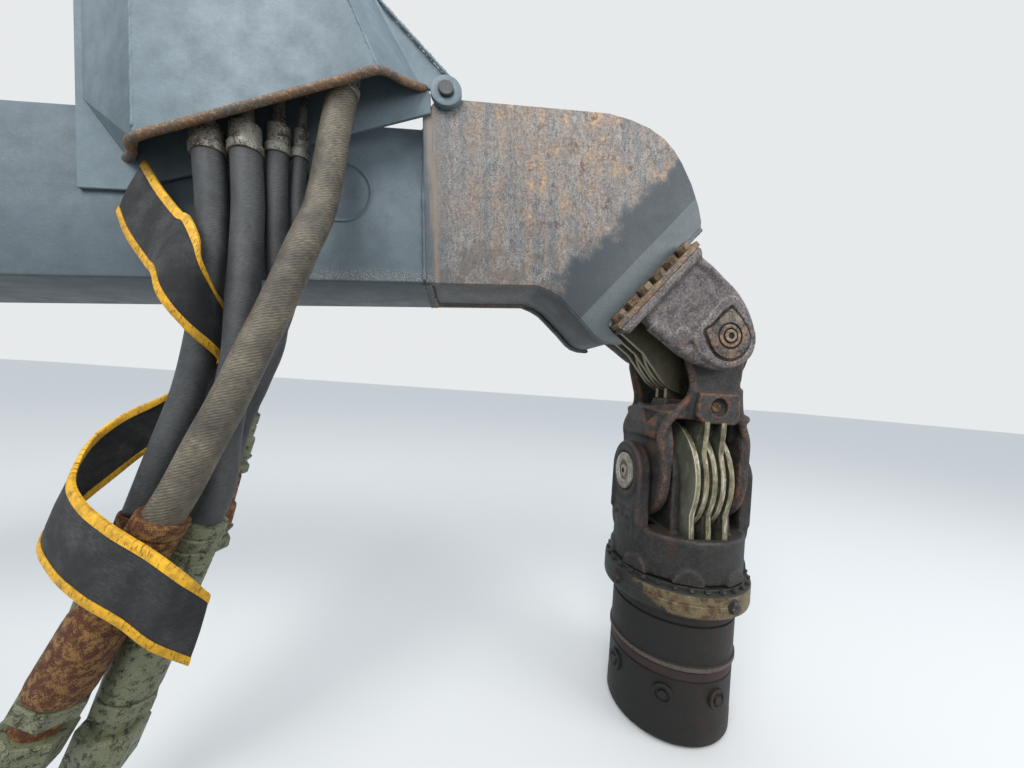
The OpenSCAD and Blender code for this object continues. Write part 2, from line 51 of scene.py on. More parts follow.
yaw, dip, roll = math.radians(7.42), math.radians(0.25), math.radians(-0.86)
look = Vector((math.sin(yaw) * math.cos(dip), math.cos(yaw) * math.cos(dip), -math.sin(dip)))
level = Vector((math.cos(yaw), -math.sin(yaw), 0))
raised = level.cross(look)
right = level * math.cos(roll) + raised * math.sin(roll)
top = raised * math.cos(roll) - level * math.sin(roll)
bpy.ops.object.camera_add()
camera = bpy.context.object
eye = BOOM @ Vector((-0.4419, -0.6826, -0.0722))
turn = BOOM.to_3x3()
camera.matrix_world = Matrix.Translation(eye) @ Matrix(
    [turn @ right, turn @ top, turn @ -look]).transposed().to_4x4()
camera.data.sensor_width = 36
camera.data.lens = camera.data.sensor_width * FOCAL_PIXELS / IMAGE_PIXELS
camera.data.clip_start = 0.05
bpy.context.scene.camera = camera
bpy.context.scene.view_settings.view_transform = "Standard"


def put(tree, kind, inputs=None, **settings):
    """Adds a shader node to a tree, or to a socket's tree, sets it, and fills or joins its inputs."""
    tree = tree.id_data
    n = tree.nodes.new("ShaderNode" + kind)
    for key, value in settings.items():
        setattr(n, key, value)
    for key, value in (inputs or {}).items():
        if isinstance(value, bpy.types.NodeSocket):
            tree.links.new(value, n.inputs[key])
        else:
            n.inputs[key].default_value = value
    return n


def new_material(name):
    m = bpy.data.materials.new(name)
    m.use_nodes = True
    m.node_tree.nodes.clear()
    return m, m.node_tree


bpy.ops.mesh.primitive_plane_add(size=60, location=(1.4, 0, -0.745))
floor = bpy.context.object
floor.name = "floor"
floor_paint, t = new_material("pale_floor")
ray = put(t, "LightPath").outputs
seen = put(t, "Math", {0: ray["Is Camera Ray"], 1: ray["Is Glossy Ray"]}, operation="MAXIMUM").outputs[0]
seen = put(t, "Math", {0: seen, 1: ray["Is Transmission Ray"]}, operation="MAXIMUM").outputs[0]
pale = put(t, "Mix", {0: seen, 6: (0.16, 0.155, 0.15, 1), 7: (0.7, 0.7, 0.69, 1)},
           data_type="RGBA").outputs[2]
shade = put(t, "BsdfPrincipled", {"Base Color": pale, "Roughness": 0.9})
put(t, "OutputMaterial", {"Surface": shade.outputs[0]})
floor.data.materials.append(floor_paint)

world = bpy.data.worlds.new("studio")
bpy.context.scene.world = world
world.use_nodes = True
t = world.node_tree
t.nodes.clear()
seen = put(t, "LightPath").outputs["Is Camera Ray"]
ambient = put(t, "Background", {"Color": (0.86, 0.93, 1, 1), "Strength": 0.9})
backdrop = put(t, "Background", {"Color": (0.8, 0.82, 0.83, 1), "Strength": 1})
both = put(t, "MixShader", {0: seen, 1: ambient.outputs[0], 2: backdrop.outputs[0]})
put(t, "OutputWorld", {"Surface": both.outputs[0]})


def soft_lamp(name, place, aim, size, power):
    bpy.ops.object.light_add(type="AREA", location=place)
    lamp = bpy.context.object
    lamp.name = name
    lamp.data.size = size
    lamp.data.energy = power
    lamp.rotation_euler = (Vector(aim) - Vector(place)).to_track_quat("-Z", "Y").to_euler()


soft_lamp("key_lamp", (0.2, -2.6, 2.6), (1.5, 0, 0), 2.2, 105)
soft_lamp("side_lamp", (3.9, -1.6, 1.2), (1.9, 0, -0.3), 1.6, 34)


# Hoses.
# Rubber pressure hoses with a cloth-marked cover, wound on a mandrel and cured. They leave
# sockets in the box on the boom's side and hang in a bundle down to their steel ends.
MM = 0.001


def eased(values, steps=8):
    """A smooth line of vectors through the given ones."""
    p = [Vector(q) for q in values]
    p = [2 * p[0] - p[1]] + p + [2 * p[-1] - p[-2]]
    line = []
    for a, b, c, d in zip(p, p[1:], p[2:], p[3:]):
        for k in range(steps):
            s = k / steps
            line.append(0.5 * (2 * b + (c - a) * s + (2 * a - 5 * b + 4 * c - d) * s ** 2
                               + (3 * b - a - 3 * c + d) * s ** 3))
    return line + [p[-2]]


def smooth_run(points, steps=8):
    """A smooth line through points given in millimetres in the boom's own frame."""
    return [BOOM @ (q * MM) for q in eased(points, steps)]


def run_length(run):
    return sum((b - a).length for a, b in zip(run, run[1:]))


def walked(run):
    """Each point of a line, with its direction there and the way gone to it."""
    gone = 0
    for i, q in enumerate(run):
        gone += (q - run[i - 1]).length if i else 0
        yield q, (run[min(i + 1, len(run) - 1)] - run[max(i - 1, 0)]).normalized(), gone


def swept(name, rings, maps, turn=0.0):
    """A closed skin over rings of points, with a map; turn is the way once around a round one."""
    n = len(rings[0])
    points = [q for ring in rings for q in ring]
    faces = [[i * n + k, i * n + (k + 1) % n, (i + 1) * n + (k + 1) % n, (i + 1) * n + k]
             for i in range(len(rings) - 1) for k in range(n)]
    faces += [list(range(n))[::-1], list(range(len(points) - n, len(points)))]
    mesh = bpy.data.meshes.new(name)
    mesh.from_pydata(points, [], faces)
    lay = mesh.uv_layers.new(name="wrap")
    for face in mesh.polygons:
        closing = turn and any(v % n == n - 1 for v in face.vertices)
        for c, v in zip(face.loop_indices, face.vertices):
            lay.data[c].uv = (turn, maps[v][1]) if closing and v % n == 0 else maps[v]
    obj = bpy.data.objects.new(name, mesh)
    bpy.context.collection.objects.link(obj)
    return obj


def tube(name, run, radius, sides=28):
    """A round tube along a line. Its map holds metres around it and along it."""
    radii = radius if isinstance(radius, list) else [radius] * len(run)
    turn = 2 * math.pi * max(radii)
    across = (run[1] - run[0]).normalized().orthogonal().normalized()
    rings, maps = [], []
    for (q, step, gone), r in zip(walked(run), radii):
        across = (across - step * across.dot(step)).normalized()
        over = step.cross(across)
        angles = [2 * math.pi * k / sides for k in range(sides)]
        rings.append([q + r * (math.cos(a) * across + math.sin(a) * over) for a in angles])
        maps += [(turn * k / sides, gone) for k in range(sides)]
    obj = swept(name, rings, maps, turn)
    for face in obj.data.polygons:
        face.use_smooth = len(face.vertices) == 4
    return obj


def noise(where, scale, detail, rough=0.55):
    return put(where, "TexNoise", {"Vector": where, "Scale": scale, "Detail": detail,
                                   "Roughness": rough}).outputs[0]


def ramp(value, low, high, first=0.0, last=1.0):
    """Goes from first to last while the value rises from low to high."""
    n = put(value, "ValToRGB", {"Fac": value})
    for e, here, v in zip(n.color_ramp.elements, (low, high), (first, last)):
        e.position = here
        e.color = (v, v, v, 1)
    return n.outputs[0]


def mix(amount, a, b):
    a, b = [(v, v, v, 1) if isinstance(v, (int, float)) else v for v in (a, b)]
    return put(amount, "Mix", {0: amount, 6: a, 7: b}, data_type="RGBA").outputs[2]


def coated(base, *coats):
    """Lays coats over a base, each given as where it shows and its colour."""
    for amount, c in coats:
        base = mix(amount, base, c)
    return base


def sum_up(how, *values):
    out = values[0]
    for v in values[1:]:
        home = v if isinstance(out, (int, float)) else out
        out = put(home, "Math", {0: out, 1: v}, operation=how).outputs[0]
    return out


def times(*values):
    return sum_up("MULTIPLY", *values)


def plus(*values):
    return sum_up("ADD", *values)


def stretched(where, scale):
    return put(where, "Mapping", {"Vector": where, "Scale": scale}).outputs[0]


def srgb(r, g, b):
    return tuple((c / 255) ** 2.2 for c in (r, g, b)) + (1,)


def shade(paint, share):
    """A paint made darker or paler by a share."""
    return tuple(min(1, share * c) for c in paint[:3]) + (1,)


def object_place(tree):
    return put(tree, "TexCoord").outputs["Object"]


def map_place(tree):
    return put(tree, "UVMap", uv_map="wrap").outputs[0]


def finish_with(base, rough, height, depth, metal=0.0):
    bump = put(base, "Bump", {"Height": height, "Distance": depth}).outputs[0]
    skin = put(base, "BsdfPrincipled", {"Base Color": base, "Roughness": rough, "Normal": bump,
                                        "Metallic": metal})
    put(base, "OutputMaterial", {"Surface": skin.outputs[0]})


def finished(obj, body, paint, node=None):
    """Gives a piece its paint, the body it rides on and the solid that it stands for."""
    if paint:
        obj.data.materials.append(paint)
    if node:
        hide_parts(node)
    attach(obj, body)
    return obj


def hose_cover(name, dark, dusty, dust, print_depth):
    """Cured rubber with the print of the wrapping cloth, dusty on patches."""
    m, t = new_material(name)
    turned_map = put(t, "Mapping", {"Vector": map_place(t), "Rotation": (0, 0, math.radians(56))}).outputs[0]
    wrap = put(t, "TexWave", {"Vector": turned_map, "Scale": 95.0, "Distortion": 1.5, "Detail": 2.0,
                              "Detail Scale": 3.0}).outputs[1]
    fine = noise(stretched(turned_map, (1, 0.15, 1)), 900, 3)
    patch = ramp(noise(object_place(t), 14, 6, 0.65), 0.5 - dust * 0.3, 0.75 - dust * 0.3)
    base = coated(mix(times(patch, ramp(fine, 0.35, 0.62, 0.3)), dark, dusty),
                  (ramp(wrap, 0, 0.4, print_depth, 0), (0.006, 0.006, 0.006, 1)))
    finish_with(base, 0.62, plus(times(wrap, print_depth), times(fine, 0.6)), 0.0005)
    return m


black_cover = hose_cover("black_hose_cover", (0.026, 0.029, 0.032, 1), (0.085, 0.088, 0.088, 1), 0.6, 0.2)
dusty_cover = hose_cover("dusty_hose_cover", (0.045, 0.04, 0.033, 1), (0.26, 0.22, 0.155, 1), 0.5, 0.45)

hose_routes = {
    "hose_1": [(-778, -135, 248), (-771, -140, 172), (-770, -145, 95), (-776, -150, 14), (-789, -158, -71),
               (-811, -164, -142), (-842, -166, -228)],
    "hose_2": [(-731, -135, 251), (-726, -142, 173), (-724, -154, 94), (-723, -165, 36), (-724, -172, -30),
               (-732, -175, -80), (-741, -174, -125), (-750, -174, -196), (-766, -174, -236)],
    "hose_3": [(-696, -121, 262), (-699, -120, 182), (-701, -122, 123), (-699, -131, 3), (-721, -134, -65),
               (-745, -132, -117), (-770, -124, -192)],
    "hose_4": [(-669, -115, 262), (-675, -112, 189), (-680, -106, 126), (-692, -103, 52), (-715, -102, -14),
               (-740, -96, -72), (-755, -91, -110)],
    "hose_5": [(-603, -136, 345), (-613, -142, 280), (-627, -160, 169), (-643, -180, 105), (-667, -195, 30),
               (-690, -205, -29), (-714, -212, -88), (-734, -218, -132), (-757, -222, -182), (-776, -222, -215)],
}
hose_sizes = {"hose_1": 0.038, "hose_2": 0.038, "hose_3": 0.028, "hose_4": 0.018, "hose_5": 0.040}
hose_runs = {}
hose_tips = {}
for name, points in hose_routes.items():
    run = smooth_run(points)
    ahead = (run[-1] - run[-2]).normalized()
    hose_tips[name] = (run[-1], ahead)
    if name in ("hose_2", "hose_5"):
        run += [run[-1] + ahead * k * MM for k in range(40, 201, 40)]
    finished(tube("cover_" + name, run, hose_sizes[name] / 2), "boom",
                           dusty_cover if name == "hose_5" else black_cover, name)
    hose_runs[name] = run


# Hose ends.
# Pressed steel ferrules with a tube and a union nut, one on each hose. They are swaged onto
# the rubber, and the zinc on them has gone rusty or greenish from the weather.
def deselect():
    bpy.ops.object.select_all(action="DESELECT")


def pick(obj):
    """Makes a piece the one that is selected."""
    deselect()
    bpy.context.view_layer.objects.active = obj
    obj.select_set(True)


def shaded(obj, degrees):
    pick(obj)
    bpy.ops.object.shade_smooth_by_angle(angle=math.radians(degrees))
    return obj


def edit(obj):
    pick(obj)
    bpy.ops.object.mode_set(mode="EDIT")
    bpy.ops.mesh.select_all(action="SELECT")


def done(obj, smooth=30):
    bpy.ops.object.mode_set(mode="OBJECT")
    return shaded(obj, smooth) if smooth else obj


def spun(name, profile, steps):
    """A turned piece: a profile of radius and height in millimetres spun about Z."""
    deselect()
    bpy.ops.mesh.primitive_circle_add(vertices=len(profile), radius=0.01)
    obj = bpy.context.object
    obj.name = name
    for v, (r, h) in zip(obj.data.vertices, profile):
        v.co = (r * MM, 0, h * MM)
    edit(obj)
    bpy.ops.mesh.spin(steps=steps, angle=2 * math.pi, center=(0, 0, 0), axis=(0, 0, 1))
    bpy.ops.mesh.select_all(action="SELECT")
    bpy.ops.mesh.remove_doubles(threshold=0.00001)
    bpy.ops.mesh.delete_loose()
    bpy.ops.mesh.select_all(action="SELECT")
    bpy.ops.mesh.normals_make_consistent(inside=False)
    return done(obj)


def nut(name, flats, height, chamfer):
    """A hexagon nut or bolt head with chamfered corners, standing on Z = 0."""
    deselect()
    bpy.ops.mesh.primitive_cylinder_add(vertices=6, radius=flats / math.sqrt(3) * MM, depth=height * MM,
                                        location=(0, 0, height * MM / 2))
    obj = bpy.context.object
    obj.name = name
    bpy.ops.object.transform_apply()
    edit(obj)
    bpy.ops.mesh.select_all(action="DESELECT")
    bpy.ops.object.mode_set(mode="OBJECT")
    for face in obj.data.polygons:
        face.select = abs(face.normal.z) > 0.9
    bpy.ops.object.mode_set(mode="EDIT")
    bpy.ops.mesh.select_mode(type="FACE")
    bpy.ops.mesh.bevel(offset=chamfer * MM, segments=2, affect="EDGES")
    return done(obj, 20)


def joined(name, parts):
    deselect()
    for p in parts:
        p.select_set(True)
    bpy.context.view_layer.objects.active = parts[0]
    if len(parts) > 1:
        bpy.ops.object.join()
    obj = bpy.context.object
    obj.name = name
    obj.data.name = name
    return obj


def moved(obj, matrix):
    obj.data.transform(matrix)
    obj.data.update()
    return obj


def at(x, y, z):
    """A shift given in millimetres."""
    return Matrix.Translation((x * MM, y * MM, z * MM))


def turn_by(degrees, axis):
    return Matrix.Rotation(math.radians(degrees), 4, axis)


def facing(direction):
    """The turn that brings Z into a direction."""
    return Vector(direction).to_track_quat("Z", "Y").to_matrix().to_4x4()


def weathered_steel(name, clean, stain, rust, share, scale, metal, rough):
    """Plated or bare steel, stained in patches and rusty in spots and hollows."""
    m, t = new_material(name)
    place = object_place(t)
    big, small = noise(place, scale, 8, 0.68), noise(place, scale * 9, 6, 0.7)
    tiny = noise(place, scale * 40, 3, 0.6)
    eaten = plus(big, times(sum_up("SUBTRACT", small, 0.5), 0.8))
    spots = ramp(eaten, 0.62 - share * 0.4, 0.7 - share * 0.4)
    base = coated(mix(ramp(small, 0.38, 0.62), clean, stain),
                  (spots, mix(ramp(tiny, 0.35, 0.65), rust, shade(rust, 0.35))))
    finish_with(base, ramp(spots, 0, 1, rough, 0.85), plus(times(small, 0.6), times(spots, 0.5)), 0.0008,
                ramp(spots, 0, 1, metal, 0))
    return m


rusty_end = weathered_steel("rusty_hose_end", srgb(158, 118, 66), srgb(112, 76, 44), srgb(98, 52, 32),
                            0.42, 130, 0.1, 0.6)
green_end = weathered_steel("zinc_hose_end", srgb(132, 136, 108), srgb(96, 98, 74), srgb(66, 62, 44),
                            0.2, 110, 0.25, 0.45)


def hose_end(name, tip, length, width, paint, block_paint):
    """The crimped ferrule, the barrel, a collar and the big union block on the end of a hose."""
    r = width / 2
    crimped = length * 0.37
    profile = [(0, 0), (r - 3, 0), (r + 1, 1.5)]
    rings = max(2, int(crimped / 16))
    for k in range(rings):
        low, high = crimped * k / rings + 3, crimped * (k + 1) / rings - 2
        profile += [(r + 1.5, low), (r + 1.5, high), (r, high + 1), (r, high + 3)]
    profile += [(r + 1.5, length * 0.39), (r + 4.5, length * 0.42), (r + 5, length * 0.45),
                (r + 5, length * 0.67),
                (r + 4, length * 0.7), (r - 3, length * 0.71), (r - 3, length * 0.9), (0, length * 0.9)]
    ferrule = spun(name, profile, 40)
    collar = moved(nut("collar", (r + 8) * 1.732, length * 0.065, 2), at(0, 0, length * 0.71))
    block = moved(nut("block", (r + 9) * 1.732, length * 0.16, 3),
                  at(0, 0, length * 0.84) @ Matrix.Rotation(0.4, 4, "Z"))
    for part, steel in ((ferrule, paint), (collar, block_paint), (block, block_paint)):
        part.data.materials.append(steel)
    end = joined(name, [ferrule, collar, block])
    return moved(end, Matrix.Translation(tip[0]) @ facing(tip[1]))


end_facts = {"hose_1": (124, 41, rusty_end), "hose_2": (310, 49, green_end), "hose_3": (108, 34, rusty_end),
             "hose_4": (94, 24, green_end), "hose_5": (300, 49, rusty_end)}
for name, (length, width, paint) in end_facts.items():
    end = hose_end("steel_end_" + name[-1], hose_tips[name], length, width, paint, green_end)
    finished(end, "boom", None, name.replace("hose", "hose_end"))
    run_length(hose_runs[name])


# Strap.
# A flat belt of ribbed black rubber cloth with a yellow tape folded over each edge and sewn
# down. It holds the hose bundle together: it winds round it and hangs over its front.
def ribbon(name, run, across, section):
    """A closed section in millimetres, given across and out of a band, swept along it."""
    rings, maps = [], []
    for (q, step, gone), side in zip(walked(run), across):
        side = side.normalized()
        out = step.cross(side).normalized()
        rings.append([q + (side * u + out * h) * MM for u, h in section])
        maps += [(u * MM, gone) for u, h in section]
    obj = swept(name, rings, maps)
    edit(obj)
    bpy.ops.mesh.normals_make_consistent(inside=False)
    return done(obj, 40)


strap_points = [(-889, -112, 203), (-857, -135, 160), (-811, -168, 114), (-786, -192, 98), (-768, -206, 68),
                (-757, -200, 36), (-753, -166, 6), (-754, -138, -22), (-773, -113, -50), (-808, -110, -85),
                (-853, -124, -119), (-880, -150, -146), (-891, -180, -172), (-890, -212, -204),
                (-856, -240, -226), (-812, -260, -248), (-775, -262, -275), (-748, -258, -305),
                (-740, -228, -343)]
strap_across = [(0.43, 0, 0.9), (0.58, -0.1, 0.79), (0.56, -0.1, 0.81), (0.5, 0, 0.86), (0.5, 0.05, 0.86),
                (0.25, 0, 0.96), (0, 0, 1), (0.15, 0, 1), (0.2, 0, 1), (0.15, 0, 1), (0.3, 0, 0.95), (0.15, 0, 1),
                (0.19, 0, 0.98), (0.41, 0, 0.91), (0.38, 0, 0.93), (0.36, 0, 0.93), (0.37, 0, 0.93),
                (0.45, 0, 0.89), (0.3, 0, 0.96)]
strap_run = smooth_run(strap_points)
strap_sides = [BOOM.to_3x3() @ v for v in eased(strap_across)]
web = ribbon("strap_web", strap_run, strap_sides,
             [(-38, -1.2), (-20, 0.3), (0, 1), (20, 0.3), (38, -1.2), (38, 1.2), (20, 2.7), (0, 3.4),
              (-20, 2.7), (-38, 1.2)][::-1])
tapes = [ribbon("strap_edge", strap_run, strap_sides,
                [(s * u, h) for u, h in ((31, -2.3), (39, -2.6), (41, -1.6), (41, 1.6), (39, 2.6), (31, 2.9))])
         for s in (-1, 1)]
edging = joined("strap_edges", tapes)

web_paint, t = new_material("ribbed_black_web")
along = map_place(t)
ribs = put(t, "TexWave", {"Vector": along, "Scale": 110.0, "Distortion": 0.6, "Detail": 1.0}).outputs[1]
threads = noise(stretched(along, (1, 0.1, 1)), 1100, 3)
dust = ramp(noise(object_place(t), 22, 7, 0.7), 0.42, 0.68)
base = coated(mix(times(dust, ramp(threads, 0.4, 0.6, 0.2, 0.9)), srgb(34, 35, 37), srgb(84, 84, 82)),
              (ramp(ribs, 0, 0.4, 0.2, 0), srgb(14, 14, 15)))
finish_with(base, 0.8, plus(times(ribs, 0.25), threads), 0.0007)
finished(web, "boom", web_paint, "strap")

tape_paint, t = new_material("yellow_edge_tape")
grime = ramp(noise(object_place(t), 70, 8, 0.72), 0.44, 0.62)
cracks = ramp(noise(stretched(map_place(t), (0.25, 1, 1)), 380, 4, 0.7), 0.34, 0.42, 1, 0)
base = coated(mix(times(grime, 0.65), srgb(240, 180, 44), srgb(150, 112, 44)),
              (times(cracks, 0.75), srgb(62, 50, 30)))
finish_with(base, 0.6, sum_up("SUBTRACT", 0.5, cracks), 0.0008)
finished(edging, "boom", tape_paint)
run_length(strap_run)


# Extension tube and nose.
# A folded tube of high-strength steel plate, with a nose cut and welded up from side plates,
# a bent cover and a floor. The paint is blue-grey, worn off the nose to scale, dust and rust.
def applied(obj, kind, **settings):
    pick(obj)
    m = obj.modifiers.new(kind.lower(), kind)
    for key, value in settings.items():
        setattr(m, key, value)
    bpy.ops.object.modifier_apply(modifier=m.name)


def cut_bevel(obj, width, segments=2, angle=30):
    """Rounds the sharp edges of a piece, width in millimetres."""
    applied(obj, "BEVEL", width=width * MM, segments=segments, limit_method="ANGLE",
            angle_limit=math.radians(angle))


def from_cad(node, width, paint):
    """A merged copy of a CAD piece on the boom, with its sharp edges rounded."""
    obj = bpy.data.objects.new(node + "_skin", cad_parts[node].data.copy())
    bpy.context.collection.objects.link(obj)
    obj.data.materials.clear()
    edit(obj)
    bpy.ops.mesh.remove_doubles(threshold=0.00005)
    bpy.ops.mesh.dissolve_limited(angle_limit=math.radians(1))
    bpy.ops.mesh.normals_make_consistent(inside=False)
    done(obj, 0)
    cut_bevel(obj, width)
    return finished(shaded(obj, 30), "boom", paint, node)


HALF_ROOT = 0.7071


def boom_place(tree):
    """Places on the boom, in metres along it, across it and above its upper pin."""
    pin = Matrix.Rotation(BOOM_RISE, 3, "Y") @ UPPER_PIN
    return put(tree, "Mapping", {"Vector": object_place(tree), "Location": -pin,
                                 "Rotation": (0, BOOM_RISE, 0)}).outputs[0]


def step_up(value, low, high):
    """0 below low, 1 above high and a soft rise between them; a fall where high is the lower."""
    return put(value, "MapRange", {0: value, 1: min(low, high), 2: max(low, high), 3: float(low > high),
                                   4: float(low < high)}, interpolation_type="SMOOTHSTEP").outputs[0]


def steel_paint(name, paint, worn_nose):
    """Paint with chalky patches and chips along the lower edge; on the nose most of it is worn off."""
    m, t = new_material(name)
    place = boom_place(t)
    x, _, z = put(t, "SeparateXYZ", {0: place}).outputs[:]
    big, mid = noise(place, 5, 6, 0.6), noise(place, 28, 7, 0.68)
    fine, dots = noise(place, 210, 5, 0.7), noise(place, 620, 2, 0.5)
    low_edge = times(step_up(z, 0.112, 0.09), step_up(z, 0.086, 0.088), step_up(x, -0.78, -0.7))
    base = coated(mix(ramp(mid, 0.35, 0.65), paint, shade(paint, 0.78)),
                  (times(ramp(fine, 0.56, 0.72, 0, 0.8), step_up(big, 0.42, 0.6)), srgb(120, 122, 118)),
                  # Painted shade: the paint is made darker below the lower fold, on the underside.
                  (step_up(z, 0.09, 0.083), shade(paint, 0.6)),
                  (times(low_edge, ramp(dots, 0.52, 0.6)), srgb(150, 146, 136)))
    rough = ramp(mid, 0.3, 0.7, 0.42, 0.62)
    height = plus(times(fine, 0.5), times(dots, 0.3))
    if worn_nose:
        streak = noise(stretched(place, (1, 1, 0.09)), 34, 6, 0.7)
        patchy = plus(times(streak, 0.5), times(mid, 0.5))
        n = times(sum_up("SUBTRACT", z, x), HALF_ROOT)
        edge = plus(n, times(sum_up("SUBTRACT", mid, 0.5), 0.1))
        beyond = step_up(edge, 0.25, 0.285)
        worn = times(beyond, step_up(x, -0.50, -0.45), ramp(streak, 0.34, 0.56, 0.55))
        grit = ramp(noise(stretched(place, (1, 1, 0.4)), 230, 6, 0.74), 0.38, 0.6)
        grain = coated(mix(grit, srgb(92, 89, 88), srgb(172, 166, 159)),
                       (ramp(big, 0.42, 0.62, 0, 0.55), srgb(112, 112, 114)),
                       (ramp(dots, 0.58, 0.66, 0, 0.8), srgb(206, 198, 188)),
                       (ramp(dots, 0.34, 0.42, 0.8, 0), srgb(70, 64, 62)))
        warm = times(beyond, step_up(x, -0.5, -0.4), ramp(patchy, 0.44, 0.54, 0, 0.6))
        tan = times(beyond, step_up(x, -0.44, -0.34), ramp(patchy, 0.53, 0.6), ramp(fine, 0.36, 0.52, 0.35), 0.8)
        rust = times(beyond, step_up(x, -0.45, -0.3), ramp(noise(place, 52, 8, 0.8), 0.56, 0.6, 0, 0.85))
        dark = times(step_up(z, 0.2, 0.12), beyond, ramp(mid, 0.5, 0.56), 0.5)
        stripe = times(step_up(x, -0.497, -0.49), step_up(x, -0.465, -0.485), ramp(streak, 0.42, 0.52), 0.55)
        spots = ramp(fine, 0.4, 0.6)
        base = coated(base, (worn, grain),
                      (warm, mix(spots, srgb(122, 102, 88), srgb(176, 154, 134))),
                      (tan, mix(spots, srgb(168, 126, 86), srgb(210, 176, 138))),
                      (rust, srgb(98, 76, 66)), (dark, srgb(84, 90, 92)), (stripe, srgb(166, 142, 118)),
                      # Painted shade over unworn paint: a darker blue-grey band along the bend line, where the
                      # bent plate turns away from the light.
                      (times(step_up(edge, 0.285, 0.25), ramp(fine, 0.25, 0.6, 0.8)), srgb(64, 70, 74)),
                      # Painted light: a paler blue-grey band between the flange and the bend line, where the
                      # plate flares out towards the sky.
                      (times(step_up(n, 0.2, 0.198), ramp(fine, 0.3, 0.7, 0.6)), srgb(98, 106, 109)),
                      (times(step_up(edge, 0.15, 0.13), ramp(fine, 0.45, 0.6, 0, 0.6)), srgb(112, 92, 76)))
        rough = mix(worn, rough, 0.72)
        height = plus(height, times(mid, 0.8))
    finish_with(base, rough, height, 0.0009)
    return m


def bead(name, points, radius, close=4):
    """A weld bead: a thick line with the ripples that the arc leaves."""
    run = smooth_run(points, close) if close else [BOOM @ (Vector(p) * MM) for p in points]
    fine = []
    for a, b in zip(run, run[1:]):
        n = max(1, int((b - a).length / 0.004))
        fine += [a.lerp(b, k / n) for k in range(n)]
    fine.append(run[-1])
    sizes = [(radius + (0.5 if k % 2 else -0.2) + 0.3 * math.sin(k * 0.9)) * MM for k in range(len(fine))]
    return tube(name, fine, sizes, 10)


# Painted shade: a darker copy of the blue-grey paint for the nose floor, which faces down into shade; the lug pin
# uses it too.
belly_paint = steel_paint("shaded_floor_paint", srgb(72, 76, 77), False)
tube_paint = steel_paint("blue_grey_paint", srgb(98, 111, 118), False)
nose_paint = steel_paint("worn_nose_paint", srgb(90, 100, 106), True)
for node, width, paint in (("extension_tube", 4, tube_paint), ("rear_bosses", 1.5, tube_paint),
                           ("nose_plate_left", 1.2, nose_paint), ("nose_plate_right", 1.2, nose_paint),
                           ("nose_cover", 1.5, nose_paint), ("nose_floor", 1.5, belly_paint)):
    from_cad(node, width, paint)

nose_line = [(-498, 84), (-320, 84), (-300, 76), (-284, 66), (-270, 52), (-246, 27), (-226, 4), (-214, -5),
             (-200, -10), (-180, -12), (-176, -9), (-201, 16), (-34, 183), (-33, 200), (-38, 226), (-50, 262),
             (-67, 297), (-80, 317), (-98, 336), (-124, 352), (-157, 364), (-197, 372), (-476, 374), (-498, 342)]
beads = []
for s in (-1, 1):
    y = s * 80
    beads += [
        bead("weld_top", [(x - 2, y, z - 5) for x, z in nose_line[13:23]], 3.2),
        bead("weld_low", [(x - 1, y, z + 5) for x, z in nose_line[0:10]], 3.2),
        bead("weld_tube", [(-500, s * 94, 88), (-500, s * 94, 213), (-500, s * 67, 340)], 2.6, close=0),
        bead("weld_under", [(-500 + s * 3, -90, 86.5), (-500 + s * 3, 90, 86.5)], 3.8, close=0),
        bead("weld_edge", [(-493, s * 4, 86.5), (-493, s * 90, 86.5)], 3.4, close=0),
        bead("weld_flange", [(-201, s * 93, 18), (-34, s * 93, 185)], 3.4, close=0)]
finished(joined("weld_beads", beads), "boom", nose_paint)


# Slide pads and the recess.
# Pads of pale wear plastic, sawn from bar and screwed to the tube near its rear end. In the
# side of the tube a round pressing with a thin rim closes a hole for a hose guide.
pad_paint, t = new_material("pad_plastic_worn")
scratch = noise(stretched(object_place(t), (0.1, 1, 1)), 160, 6, 0.7)
finish_with(mix(ramp(scratch, 0.4, 0.65), srgb(196, 188, 162), srgb(146, 138, 118)),
            ramp(scratch, 0.3, 0.7, 0.35, 0.6), scratch, 0.0005)
from_cad("wear_pads", 3, pad_paint)
dish = spun("recess_dish", [(0, 1.2), (36, 1.2), (38, 0.4), (41, 0.3), (42.5, 1.4), (45, 1.8), (46, 1.0), (46, 0),
                            (0, 0)], 64)
finished(moved(dish, BOOM @ at(-622, -94, 220) @ turn_by(90, "X")), "boom", tube_paint, "recess_cover")


# Hose box.
# A box of thin sheet on the side of the tube, its edges bent and welded. The lower edge is
# turned over a rod and worn to rust by the hoses; a lug with a pin closes it at the front.
lip_paint, t = new_material("worn_lip")
place = boom_place(t)
patches, grain = noise(place, 30, 8, 0.72), noise(place, 240, 5, 0.7)
base = coated(mix(ramp(patches, 0.42, 0.52), srgb(86, 82, 78), srgb(116, 88, 64)),
              (ramp(grain, 0.5, 0.66, 0, 0.9), srgb(164, 142, 114)))
finish_with(base, 0.6, plus(patches, times(grain, 0.5)), 0.0009)
box_paint = steel_paint("box_paint", srgb(118, 134, 142), False)
for node, width in (("hose_box", 1.2), ("hose_box_side", 1.2), ("hose_box_back", 1.2), ("box_lug", 2),
                    ("hose_rail", 1.5)):
    from_cad(node, width, box_paint)
from_cad("nose_collar", 1.5, lip_paint)

